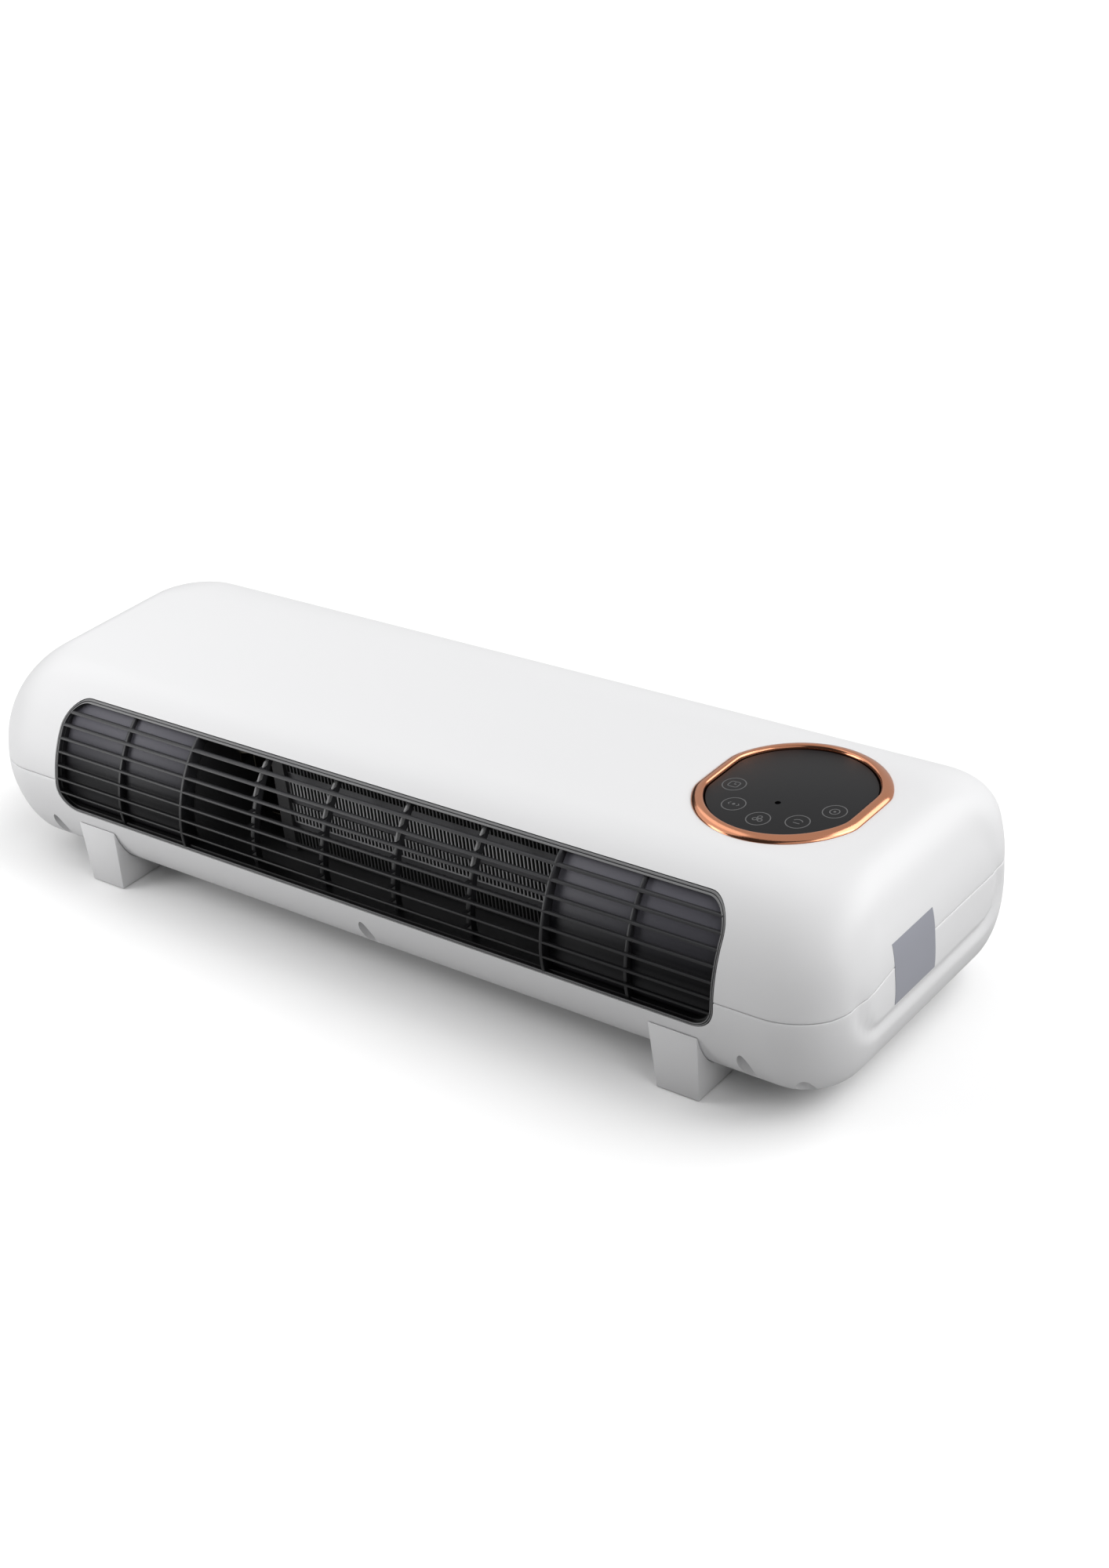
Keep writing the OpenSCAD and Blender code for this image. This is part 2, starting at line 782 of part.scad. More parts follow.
module rear_band(near, deep, z0, z1) {
    zs = [for (i = [0 : 16]) z0 + (z1 - z0) * i / 16];
    along_x(-far, far)
        polygon(concat([for (z = zs) [rear_y(z) - near, z]],
                       reversed([for (z = zs) [rear_y(z) - deep, z]])));
}

module intake_outline(inset) {
    along_y(0, half_depth + 5)
        rounded_rect(blower_x0 + inset, blower_x1 - inset, z_intake0 + inset, z_intake1 - inset,
                     intake_r - inset);
}

module intake_grille() color("white") difference() {
    union() {
        difference() {
            intersection() {
                intake_outline(0);
                rear_band(0, intake_d, z_intake0 - 1, z_intake1 + 1);
            }
            intake_outline(intake_frame);
        }
        difference() {
            intersection() {
                intake_outline(-1.6);
                rear_band(intake_d - 1.5, intake_d, z_intake0 - 2, z_intake1 + 2);
            }
            intake_outline(intake_frame);
        }
        intersection() {
            intake_outline(intake_frame / 2);
            rear_band(0, 4.5, z_intake0 - 1, z_intake1 + 1);
            union() {
                for (i = [1 : louvre_count])
                    translate([0, 0, z_intake0 + (z_intake1 - z_intake0) * i / (louvre_count + 1) - 0.8])
                        block(-far, far, 0, far, 0, 1.6);
                for (i = [1 : intake_rib_count])
                    translate([blower_x0 + (blower_x1 - blower_x0) * i / (intake_rib_count + 1) - 0.9, 0, 0])
                        block(0, 1.8, 0, far, 0, far);
            }
        }
        translate([0, screw_y, boss_top + fit]) cylinder(h = lug_top - boss_top - fit, r = post_r);
    }
    bores([[0, screw_y]], 0, lug_top - 0.5, screw_r + running);
}

module dust_filter() color("slategray") intersection() {
    rear_band(intake_d + fit, intake_d + fit + filter_t, z_filter0, z_filter1);
    block(blower_x0 + guide_t + fit, blower_x1 - guide_t - fit, 0, far, 0, far);
}

// Blower housing: two side plates with a guide below and a ceiling above the wheel
guide_in = wheel_r + guide_gap;
guide_out = guide_in + guide_t;
inner_x0 = blower_x0 + guide_t;
inner_x1 = blower_x1 - guide_t;
core_y0 = -half_depth + core_set;
core_y1 = core_y0 + core_d;
z_core0 = z_base + core_low;
z_core1 = z_top - core_top;
floor_z = z_core0 - 0.9;           // top of the duct's floor
ceiling_z = z_core1 + 0.9;         // underside of the duct's ceiling
floor_y = -half_depth + 14;
ceiling_y = core_y0 - 3;
plate_front = frame_d + 2 * fit;
plate_rear = intake_d + filter_t + 3 * fit;
motor_x = blower_x0 - motor_stand;
motor_bolts = [for (s = [-1, 1]) [blower_y + s * motor_screw_y, z_axis]];
rubber_r = 9;
bush_r = 5;
bush_len = 6;

module at_axis() {
    translate([0, blower_y, z_axis]) children();
}

module plate_profile() {
    zs = [for (i = [0 : 24]) z_base + 5 + (body_h - 10) * i / 24];
    union() {
        polygon(concat([for (z = zs) [front_y(z) + plate_front, z]],
                       reversed([for (z = zs) [rear_y(z) - plate_rear, z]])));
        translate([-45, z_base + wall + fit]) square([90, 4]);
        translate([-20, z_top - wall - fit - 4]) square([45, 4]);
    }
}

module plate(x0, hole_r) {
    difference() {
        along_x(x0, x0 + guide_t) plate_profile();
        at_axis() rod_x(x0 - 1, x0 + guide_t + 1, hole_r);
    }
}

module motor_spots(x0, x1, r) {
    for (p = motor_bolts)
        translate([0, p[0], p[1]]) rod_x(x0, x1, r);
}

module plate_left() color("lightgray") difference() {
    union() {
        plate(blower_x0, 7);
        motor_spots(motor_x + fit, blower_x0 + 1, 4);
    }
    motor_spots(motor_x - 1, blower_x0 - 1, screw_r + running);
}

module plate_right() color("lightgray") difference() {
    union() {
        plate(inner_x1, rubber_r + fit);
        difference() {
            at_axis() rod_x(inner_x1, inner_x1 + bush_len + 1, rubber_r + 2.3);
            at_axis() rod_x(inner_x1 - 1, inner_x1 + bush_len + 2, rubber_r + fit);
        }
    }
}

module ring_part(a0, a1) {
    intersection() {
        difference() {
            circle(guide_out, $fn = 72);
            circle(guide_in, $fn = 72);
        }
        polygon(concat([[0, 0]], [for (i = [0 : 8])
            let (a = a0 + (a1 - a0) * i / 8) 2 * guide_out * [cos(a), sin(a)]]));
    }
}

guide_a0 = -130;
guide_a1 = -25;
tongue_a0 = 100;
tongue_a1 = 145;
guide_mid = guide_in + guide_t / 2;
function on_guide(a) = [blower_y, z_axis] + guide_mid * [cos(a), sin(a)];

// A bent sheet of thickness t, drawn along its middle line
function unit(v) = v / norm(v);
function mitre(line, i, t) =
    let (a = unit(i > 0 ? line[i] - line[i - 1] : line[1] - line[0]),
         b = i < len(line) - 1 ? unit(line[i + 1] - line[i]) : a,
         n = unit([-a[1] - b[1], a[0] + b[0]]))
    line[i] + n * t / 2 / (n[1] * a[0] - n[0] * a[1]);
function sheet_side(line, t) = [for (i = [0 : len(line) - 1]) mitre(line, i, t)];

module sheet(line, t) {
    polygon(concat(sheet_side(line, t), reversed(sheet_side(line, -t))));
}

module duct() {
    along_x(inner_x0 + fit, inner_x1 - fit) children();
}

module scroll_guide() color("lightgray") union() {
    duct() translate([blower_y, z_axis]) ring_part(guide_a0, guide_a1);
    duct() sheet([on_guide(guide_a0 + 3), [core_y1 + 2, floor_z - guide_t / 2],
                  [floor_y, floor_z - guide_t / 2]], guide_t);
}

module duct_ceiling() color("lightgray") union() {
    duct() translate([blower_y, z_axis]) ring_part(tongue_a0, tongue_a1);
    duct() sheet([on_guide(tongue_a1 - 4), [core_y1 + 1.5, ceiling_z + guide_t / 2],
                  [ceiling_y, ceiling_z + guide_t / 2]], guide_t);
}

// Heater core
core_x0 = rib_xs[core_first_cell - 1];
core_x1 = rib_xs[core_last_cell - 1];
fin_h = (z_core1 - z_core0 - 2 * rail_t - (fin_rows - 1) * tube_h) / fin_rows;
fin_legs = 2 * floor((core_x1 - core_x0) / fin_pitch / 2);
fin_step = (core_x1 - core_x0 - fin_t) / (fin_legs - 1);
tongue_len = 4;                 // length of a tube or rail in its end holder
function row_z(i) = z_core0 + rail_t + i * (fin_h + tube_h);
function leg_x(i) = core_x0 + fin_t / 2 + i * fin_step;

// One strip folded to and fro: its two faces are listed fold by fold
function fin_face(z0, z1) = [for (i = [0 : 2 : fin_legs - 2])
    for (q = [[leg_x(i) - fin_t / 2, i == 0 ? z0 : z0 + fin_t], [leg_x(i) - fin_t / 2, z1],
              [leg_x(i + 1) + fin_t / 2, z1],
              [leg_x(i + 1) + fin_t / 2, i == fin_legs - 2 ? z0 : z0 + fin_t]]) q];
function fin_back(z0, z1) = [for (i = [0 : 2 : fin_legs - 2])
    for (q = [[leg_x(i) + fin_t / 2, z0], [leg_x(i) + fin_t / 2, z1 - fin_t],
              [leg_x(i + 1) - fin_t / 2, z1 - fin_t], [leg_x(i + 1) - fin_t / 2, z0]]) q];

module core_fins() color("silver") {
    for (i = [0 : fin_rows - 1])
        along_y(core_y0 + 0.5, core_y1 - 0.5)
            polygon(concat(fin_face(row_z(i), row_z(i) + fin_h),
                           reversed(fin_back(row_z(i), row_z(i) + fin_h))));
}

module tube_blocks(x0, x1, gap) {
    for (i = [1 : fin_rows - 1])
        block(x0, x1, core_y0 + 1 - gap, core_y1 - 1 + gap, row_z(i) - tube_h - gap, row_z(i) + gap);
}

module rail_blocks(x0, x1, gap) {
    for (z = [z_core0, z_core1 - rail_t])
        block(x0, x1, core_y0 - gap, core_y1 + gap, z - gap, z + rail_t + gap);
}

module core_tubes() color("gray") tube_blocks(core_x0 - tongue_len, core_x1 + tongue_len, 0);

module core_rails() color("silver") rail_blocks(core_x0 - tongue_len, core_x1 + tongue_len, 0);

module core_end(x0, x1) {
    difference() {
        block(x0, x1, core_y0 - 1.5, core_y1 + 1.5, floor_z + fit, ceiling_z - fit);
        tube_blocks(x0 - 1, x1 + 1, 0.1);
        rail_blocks(core_x0 - tongue_len - 0.2, core_x1 + tongue_len + 0.2, 0.1);
    }
}

module core_end_left() color("dimgray") core_end(core_x0 - core_end_len, core_x0 - 0.1);

module core_end_right() color("dimgray") core_end(core_x1 + 0.1, core_x1 + core_end_len);

module core_terminals() color("tan") {
    for (i = [1 : fin_rows - 1])
        block(core_x0 - tongue_len - 14, core_x0 - tongue_len, (core_y0 + core_y1) / 2 - 3.15,
              (core_y0 + core_y1) / 2 + 3.15, row_z(i) - tube_h / 2 - 0.4, row_z(i) - tube_h / 2 + 0.4);
}

stat_x = inner_x0 + 12;
stat_y = (core_y0 + core_y1) / 2;

module thermostat() color("tan") union() {
    translate([stat_x, stat_y, ceiling_z - fit - 1.5]) cylinder(h = 1.5, r = 8);
    translate([stat_x, stat_y, ceiling_z - fit - 8]) cylinder(h = 7, r = 7);
    for (s = [-1, 1])
        block(stat_x + s * 4.5 - 0.4, stat_x + s * 4.5 + 0.4, stat_y - 3.15, stat_y + 3.15,
              ceiling_z - fit - 16, ceiling_z - fit - 7);
}

// The fuse lies across the duct, close beside the thermostat
module thermal_fuse() color("white")
    translate([stat_x + 10.5, stat_y, ceiling_z - fit - 2]) rotate([0, 0, 90]) union() {
        rod_x(-5, 5, 2);
        rod_x(-6, 6, 0.6);
    }

// Blower wheel and its motor
wheel_x0 = inner_x0 + wheel_gap;
wheel_x1 = inner_x1 - wheel_gap;
ring_count = 4;                 // rings between the wheel's two end discs
hub_r = 7;
hub_len = 8;
blade_lean = 24;                // how far a blade leans forward over its depth
bracket_x1 = motor_x;
bracket_x0 = bracket_x1 - bracket_t;
stator_x1 = bracket_x0 - coil_len - 1;
stator_x0 = stator_x1 - stator_len;
outer_x1 = stator_x0 - coil_len - 1;
outer_x0 = outer_x1 - bracket_t;

// One curved blade, drawn from the rim inwards
function blade_side(t) = [for (i = [0 : 4])
    let (f = i / 4, r = wheel_r - blade_d * f, a = blade_lean * pow(f, 1.5))
        r * [cos(a), sin(a)] + t * [-sin(a), cos(a)]];

module blades() {
    for (i = [0 : blade_count - 1])
        rotate(360 * i / blade_count)
            polygon(concat(blade_side(blade_t / 2), reversed(blade_side(-blade_t / 2))));
}

module blower_wheel() color("gainsboro") difference() {
    union() {
        at_axis() along_x(wheel_x0 + disc_t / 2, wheel_x1 - disc_t / 2) blades();
        for (x = [wheel_x0, wheel_x1 - disc_t])
            at_axis() rod_x(x, x + disc_t, wheel_r);
        at_axis() rod_x(wheel_x0, wheel_x0 + hub_len, hub_r);
        at_axis() rod_x(wheel_x1 - hub_len, wheel_x1, hub_r);
        for (i = [1 : ring_count])
            difference() {
                at_axis() rod_x(wheel_x0 + (wheel_x1 - wheel_x0) * i / (ring_count + 1) - 0.8,
                                wheel_x0 + (wheel_x1 - wheel_x0) * i / (ring_count + 1) + 0.8, wheel_r);
                at_axis() rod_x(wheel_x0, wheel_x1, wheel_r - blade_d);
            }
    }
    at_axis() rod_x(wheel_x0 - 1, wheel_x0 + hub_len - 1, shaft_r + running);
    at_axis() rod_x(wheel_x1 - hub_len + 1, wheel_x1 + 1, shaft_r + running);
}

module motor_shaft() color("silver") at_axis() rod_x(outer_x0 - 5, wheel_x0 + hub_len - 1.5, shaft_r);

module end_pin() color("silver") at_axis() rod_x(wheel_x1 - hub_len + 1.5, inner_x1 + bush_len + 2, shaft_r);

module motor_rotor() color("silver") difference() {
    at_axis() rod_x(stator_x0 - 1, stator_x1 + 1, rotor_r);
    at_axis() rod_x(stator_x0 - 2, stator_x1 + 2, shaft_r + running);
}

module motor_stator() color("slategray") difference() {
    at_axis() rod_x(stator_x0, stator_x1, motor_r);
    at_axis() rod_x(stator_x0 - 1, stator_x1 + 1, rotor_r + air_gap);
}

module coil(x0, x1) {
    difference() {
        at_axis() rod_x(x0, x1, motor_r - 2.6);
        at_axis() rod_x(x0 - 1, x1 + 1, rotor_r + 1.8);
    }
}

module motor_coils() color("peru") {
    coil(stator_x1, stator_x1 + coil_len);
    coil(stator_x0 - coil_len, stator_x0);
}

// A bracket is a disc with two ears and a rim that clamps the stator
module bracket(x0, x1, rim_x0, rim_x1) {
    difference() {
        union() {
            at_axis() rod_x(x0, x1, motor_r);
            block(x0, x1, blower_y - motor_screw_y, blower_y + motor_screw_y, z_axis - 4.2, z_axis + 4.2);
            motor_spots(x0, x1, 4.2);
            at_axis() rod_x(rim_x0, rim_x1, motor_r);
        }
        difference() {
            at_axis() rod_x(rim_x0 - (rim_x0 < x0 ? 1 : 0), rim_x1 + (rim_x1 > x1 ? 1 : 0), motor_r - 1.5);
            at_axis() rod_x(x0, x1, motor_r);
        }
        at_axis() rod_x(x0 - 1, x1 + 1, shaft_r + running);
        motor_spots(x0 - 1, x1 + 1, screw_r + 0.2);
    }
}

module bracket_inner() color("gainsboro") bracket(bracket_x0, bracket_x1, stator_x1, bracket_x1);

module bracket_outer() color("gainsboro") bracket(outer_x0, outer_x1, outer_x0, stator_x0);

module motor_screws() color("silver") {
    for (p = motor_bolts)
        translate([0, p[0], p[1]]) union() {
            rod_x(outer_x0 - 1.8, outer_x0, screw_head_r);
            rod_x(outer_x0 - 1, blower_x0 - 2, screw_r);
        }
}

module bearing_bush() color("tan") difference() {
    at_axis() rod_x(inner_x1 + 0.5, inner_x1 + bush_len, bush_r);
    at_axis() rod_x(inner_x1 - 1, inner_x1 + bush_len + 1, shaft_r + running);
}

module bearing_rubber() color("black") difference() {
    at_axis() rod_x(inner_x1, inner_x1 + bush_len + 0.5, rubber_r);
    at_axis() rod_x(inner_x1 - 1, inner_x1 + bush_len + 2, bush_r + 0.05);
}

// Power board, with its pieces standing on it
board_z1 = board_z + board_t;

module power_board() color("darkgreen") difference() {
    block(board_x - board_len / 2, board_x + board_len / 2, -board_w / 2, board_w / 2, board_z, board_z1);
    bores(board_posts, 0, far, screw_r + 0.2);
}

module board_screws() color("silver") {
    for (p = board_posts)
        screw_down(p, board_z1, board_t + 5);
}

module on_board(x, y, size) {
    translate([board_x + x - size[0] / 2, y - size[1] / 2, board_z1]) cube(size);
}

relay_size = [19, 15.5, 15.3];
capacitor_size = [26, 10, 17];
bobbin_size = [22, 20, 3];      // each of the transformer's two flanges
winding_size = [14, 14, 17];

module relays() color("royalblue") {
    for (s = [-1, 1])
        on_board(-20, s * (relay_size[1] / 2 + 2.25), relay_size);
}

module capacitor() color("gold") on_board(10, 19, capacitor_size);

module transformer() color("orange") union() {
    on_board(10, -4, bobbin_size);
    on_board(10, -4, winding_size);
    translate([0, 0, winding_size[2] - bobbin_size[2]]) on_board(10, -4, bobbin_size);
}

module terminal_block() color("gray") difference() {
    on_board(32, -4, [10, 24, 12]);
    for (i = [-2 : 1])
        translate([board_x + 32, -4 + 3 + i * 6, board_z1 + 4]) cylinder(h = 10, r = 1.8);
    for (i = [-2 : 1])
        translate([0, -4 + 3 + i * 6, board_z1 + 7]) rod_x(board_x + 32, board_x + 40, 1.4);
}

// Mains rocker switch and cord inlet at the left end
rocker_x = seat_x + 0.4;
pin_r = 1.3;
rocker_tilt = 8;
cavity_hl = switch_hl - fit - 1;
cavity_hw = switch_hw - fit - 1;
rocker_hl = cavity_hl - 0.7;
rocker_hw = cavity_hw - 0.4;

module switch_body() color("black") difference() {
    union() {
        block(seat_x - 1.4, seat_x - 0.1, switch_y - switch_hl - 1.6, switch_y + switch_hl + 1.6,
              z_side - switch_hw - 1.4, z_side + switch_hw + 1.4);
        block(seat_x - 1, seat_x + 20, switch_y - switch_hl + fit, switch_y + switch_hl - fit,
              z_side - switch_hw + fit, z_side + switch_hw - fit);
        for (s = [-1, 1])
            block(seat_x + 19, seat_x + 28, switch_y + s * 5 - 3.15, switch_y + s * 5 + 3.15,
                  z_side - 0.4, z_side + 0.4);
    }
    block(seat_x - 2, rocker_x + 7, switch_y - cavity_hl, switch_y + cavity_hl,
          z_side - cavity_hw, z_side + cavity_hw);
    translate([rocker_x, switch_y, z_side - cavity_hw - 0.7])
        cylinder(h = 2 * cavity_hw + 1.4, r = pin_r + running);
}

module power_rocker() color("dimgray")
translate([rocker_x, switch_y, 0]) rotate([0, 0, -rocker_tilt]) union() {
    translate([0, 0, z_side - rocker_hw]) linear_extrude(2 * rocker_hw)
        polygon([[-3, -rocker_hl], [-1.9, 0], [-3, rocker_hl],
                 [0.6, rocker_hl], [2.6, 3], [2.6, -3], [0.6, -rocker_hl]]);
    translate([0, 0, z_side - cavity_hw - 0.5]) cylinder(h = 2 * cavity_hw + 1, r = pin_r);
}

module cord_gland() color("black") difference() {
    union() {
        at_inlet() rod_x(seat_x - 1.9, seat_x - 0.1, inlet_flange_r);
        at_inlet() rod_x(seat_x - 1, seat_x + seat_t + 9, inlet_hole_r - 0.1);
        at_inlet() rod_x(seat_x + seat_t + 0.2, seat_x + seat_t + 4, inlet_flange_r);
    }
    at_inlet() rod_x(seat_x - 3, seat_x + seat_t + 10, inlet_r);
}

module cord_clamp() color("lightgray") difference() {
    union() {
        block(clamp_x - 4, clamp_x + 4, inlet_y - 17, inlet_y + 17, clamp_z, clamp_z + 4);
        at_inlet() rod_x(clamp_x - 4, clamp_x + 4, inlet_r + 2);
        block(clamp_x - 4, clamp_x + 4, inlet_y - inlet_r - 2, inlet_y + inlet_r + 2, clamp_z, z_side);
    }
    at_inlet() rod_x(clamp_x - 5, clamp_x + 5, inlet_r - 0.3);
    block(clamp_x - 5, clamp_x + 5, inlet_y - far, inlet_y + far, 0, clamp_z);
    bores(clamp_posts, 0, far, screw_r + 0.2);
}

module clamp_screws() color("silver") {
    for (p = clamp_posts)
        screw_down(p, clamp_z + 4, 10);
}

// Feet: each has two heads that lock behind the slots of the back
foot_y0 = -half_depth + foot_setback;
pad_r = 7;
pad_ys = [foot_y0 + 14, foot_y0 + foot_len - 14];

module foot(x) {
    difference() {
        translate([x, 0, 0]) along_y(foot_y0, foot_y0 + foot_len)
            polygon([[-foot_sole_w / 2, pad_out], [foot_sole_w / 2, pad_out],
                     [foot_top_w / 2, foot_h], [-foot_top_w / 2, foot_h]]);
        form(-fit);
        for (y = pad_ys)
            translate([x, y, 0]) cylinder(h = pad_t, r = pad_r + 0.05);
    }
    for (y = head_ys) {
        block(x - neck_w / 2, x + neck_w / 2, y - head_len / 2, y + head_len / 2,
              z_base - fit - 1, z_base + wall + fit + 1);
        block(x - head_w / 2, x + head_w / 2, y - head_len / 2, y + head_len / 2,
              z_base + wall + fit, z_base + wall + fit + head_t);
    }
}

module foot_pads(x) {
    for (y = pad_ys)
        translate([x, y, 0]) cylinder(h = pad_t, r = pad_r);
}

module left_foot() color("white") union() foot(-foot_x);

module right_foot() color("white") union() foot(foot_x);

module left_foot_pads() color("dimgray") foot_pads(-foot_x);

module right_foot_pads() color("dimgray") foot_pads(foot_x);

front_cover();
rear_cover();
outlet_grille();
blank_left();
blank_right();
intake_grille();
dust_filter();
copper_ring();
touch_glass();
glass_carrier();
panel_screws();
touch_board();
touch_pads();
display_module();
ir_receiver();
scroll_guide();
duct_ceiling();
plate_left();
plate_right();
core_fins();
core_tubes();
core_rails();
core_end_left();
core_end_right();
core_terminals();
thermostat();
thermal_fuse();
blower_wheel();
motor_shaft();
end_pin();
motor_rotor();
motor_stator();
motor_coils();
bracket_inner();
bracket_outer();
motor_screws();
bearing_bush();
bearing_rubber();
power_board();
relays();
capacitor();
transformer();
terminal_block();
board_screws();
switch_body();
power_rocker();
cord_gland();
cord_clamp();
clamp_screws();
housing_screws();
rating_label();
left_foot();
right_foot();
left_foot_pads();
right_foot_pads();
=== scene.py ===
import json
import math

import bmesh
import bpy
from mathutils import Matrix, Vector
from mathutils.bvhtree import BVHTree
from mathutils.interpolate import poly_3d_calc


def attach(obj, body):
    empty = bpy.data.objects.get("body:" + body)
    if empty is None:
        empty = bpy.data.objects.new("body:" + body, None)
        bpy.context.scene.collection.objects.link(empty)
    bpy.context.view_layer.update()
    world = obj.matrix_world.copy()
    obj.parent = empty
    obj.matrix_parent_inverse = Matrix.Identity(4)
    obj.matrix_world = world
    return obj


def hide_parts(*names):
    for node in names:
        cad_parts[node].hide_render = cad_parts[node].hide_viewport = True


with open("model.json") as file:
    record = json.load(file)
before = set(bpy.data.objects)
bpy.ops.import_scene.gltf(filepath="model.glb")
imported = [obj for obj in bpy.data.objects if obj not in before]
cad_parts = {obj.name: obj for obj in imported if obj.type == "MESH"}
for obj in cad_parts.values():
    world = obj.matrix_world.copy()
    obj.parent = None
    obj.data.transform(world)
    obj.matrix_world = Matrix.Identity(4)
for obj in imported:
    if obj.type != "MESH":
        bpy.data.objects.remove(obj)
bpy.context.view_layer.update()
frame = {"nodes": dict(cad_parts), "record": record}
nodes = frame["nodes"]
mm = 0.001      # shapes are worked out in millimetres and turned to metres at the end
print("frame loaded,", len(nodes), "nodes")


# Camera at the photograph's viewing angle
cameraView = {
    "azimuth": 40.877,
    "elevation": 28.937,
    "roll": -6.546,
    "target": (0.02646, 0.03145, 0.0508),
    "distance": 1.0786,
    "lens": 55.295,
    "sensor": 36.0,
    "farEnd": 50.0,
}


def makeCamera(view):
    azimuth, elevation, roll = (math.radians(view[k]) for k in ("azimuth", "elevation", "roll"))
    forward = Vector((-math.sin(azimuth) * math.cos(elevation),
                      math.cos(azimuth) * math.cos(elevation),
                      -math.sin(elevation)))
    right = Vector((math.cos(azimuth), math.sin(azimuth), 0))
    up = right.cross(forward)
    turn = Matrix.Rotation(-roll, 3, forward)
    right, up = turn @ right, turn @ up
    eye = Vector(view["target"]) - forward * view["distance"]
    data = bpy.data.cameras.new("photoCamera")
    data.sensor_width = view["sensor"]
    data.lens = view["lens"]
    data.clip_end = view["farEnd"]
    camera = bpy.data.objects.new("photoCamera", data)
    rows = [(right[i], up[i], -forward[i], eye[i]) for i in range(3)]
    camera.matrix_world = Matrix(rows + [(0, 0, 0, 1)])
    bpy.context.collection.objects.link(camera)
    bpy.context.scene.camera = camera


makeCamera(cameraView)


# Light: a dim even room, broad suns given by compass side and tilt, and two soft panels near by
light = {
    "room": 0.06,
    "suns": {                   # strength, side counted from +X, tilt from straight down, softness
        "sunBackRight": (1.6, 45, 45, 50),
        "sunBack": (1.38, 90, 45, 110),
        "sunRight": (1.28, 0, 50, 50),
        "sunFrontRight": (0.41, 315, 50, 50),
        "sunLeft": (0.6, 180, 50, 50),
    },
    "panels": {                 # power, place, the point it faces, size
        "panelLeft": (1.9, (-0.55, -0.55, 0.2), (-0.16, -0.06, 0.02), 0.35),
        "panelUpLeft": (1.2, (-0.6, -0.4, 0.5), (-0.1, -0.05, 0.05), 0.35),
    },
}


def addLamp(name, kind, away, place=(0, 0, 0)):
    data = bpy.data.lights.new(name, kind)
    lamp = bpy.data.objects.new(name, data)
    lamp.location = place
    lamp.rotation_euler = Vector(away).to_track_quat("Z", "Y").to_euler()
    bpy.context.collection.objects.link(lamp)
    return data


def makeLight(values):
    world = bpy.data.worlds.new("softRoom")
    world.use_nodes = True
    tree = world.node_tree
    background = tree.nodes["Background"]
    background.inputs["Color"].default_value = (1, 1, 1, 1)
    path = tree.nodes.new("ShaderNodeLightPath")        # white to the eye, dim as a light
    brightness = tree.nodes.new("ShaderNodeMath")
    brightness.operation = "MAXIMUM"
    brightness.inputs[1].default_value = values["room"]
    tree.links.new(path.outputs["Is Camera Ray"], brightness.inputs[0])
    tree.links.new(brightness.outputs[0], background.inputs["Strength"])
    bpy.context.scene.world = world
    for name, (strength, side, tilt, softness) in values["suns"].items():
        side, tilt = math.radians(side), math.radians(tilt)
        away = (math.sin(tilt) * math.cos(side), math.sin(tilt) * math.sin(side), math.cos(tilt))
        sun = addLamp(name, "SUN", away)
        sun.energy = strength
        sun.angle = math.radians(softness)
    for name, (power, place, facing, size) in values["panels"].items():
        softPanel = addLamp(name, "AREA", Vector(place) - Vector(facing), place)
        softPanel.energy = power
        softPanel.size = size
    bpy.context.scene.view_settings.view_transform = "Standard"


makeLight(light)
print("camera and light set")


# Node groups shared by the materials. A layer of pattern has its scale, its detail and its share.
pattern = {
    "drift": {"scale": 12.0, "detail": 4.0, "share": 0.8},
    "grain": {"scale": 900.0, "detail": 2.0, "share": 0.2},
    "lines": {"scale": (60, 2200, 2200), "detail": 2.0, "share": 0.6},
    "stain": {"scale": 160.0, "detail": 3.0, "share": 0.4},
}
skinInputs = {"Vector": (0, 0, 0), "Colour": (0.8, 0.8, 0.8, 1), "Second Colour": (0.7, 0.7, 0.7, 1),
              "Roughness": 0.3, "Spread": 0.1}
skinOutputs = {"Colour": "NodeSocketColor", "Roughness": "NodeSocketFloat", "Height": "NodeSocketFloat"}


# The kind of an input follows from its first value: three numbers are a vector, four are a colour
def groupShell(name, inputs, outputs):
    group = bpy.data.node_groups.new(name, "ShaderNodeTree")
    for label, value in inputs.items():
        kind = "NodeSocketFloat"
        if isinstance(value, tuple):
            kind = "NodeSocketVector" if len(value) == 3 else "NodeSocketColor"
        socket = group.interface.new_socket(name=label, in_out="INPUT", socket_type=kind)
        socket.default_value = value
    for label, kind in outputs.items():
        group.interface.new_socket(name=label, in_out="OUTPUT", socket_type=kind)
    return group, group.nodes.new("NodeGroupInput"), group.nodes.new("NodeGroupOutput")


def addNode(tree, kind, settings=(), **values):
    node = tree.nodes.new(kind)
    for label, value in settings:
        setattr(node, label, value)
    for label, value in values.items():
        node.inputs[label].default_value = value
    return node


# A value is a link from another node, or else a plain number or colour
def feed(tree, socket, value):
    if isinstance(value, bpy.types.NodeSocket):
        tree.links.new(value, socket)
    else:
        socket.default_value = value


def mathNode(tree, operation, *values):
    node = addNode(tree, "ShaderNodeMath", [("operation", operation)])
    for socket, value in zip(node.inputs, values):
        feed(tree, socket, value)
    return node.outputs[0]


def noiseNode(tree, vector, scale, detail, roughness=0.5):
    node = addNode(tree, "ShaderNodeTexNoise", Detail=detail, Roughness=roughness)
    feed(tree, node.inputs["Vector"], vector)
    feed(tree, node.inputs["Scale"], scale)
    return node.outputs["Fac"]


def mixColours(tree, share, first, second):
    node = addNode(tree, "ShaderNodeMix", [("data_type", "RGBA")])
    for socket, value in ((node.inputs[0], share), (node.inputs[6], first), (node.inputs[7], second)):
        feed(tree, socket, value)
    return node.outputs[2]


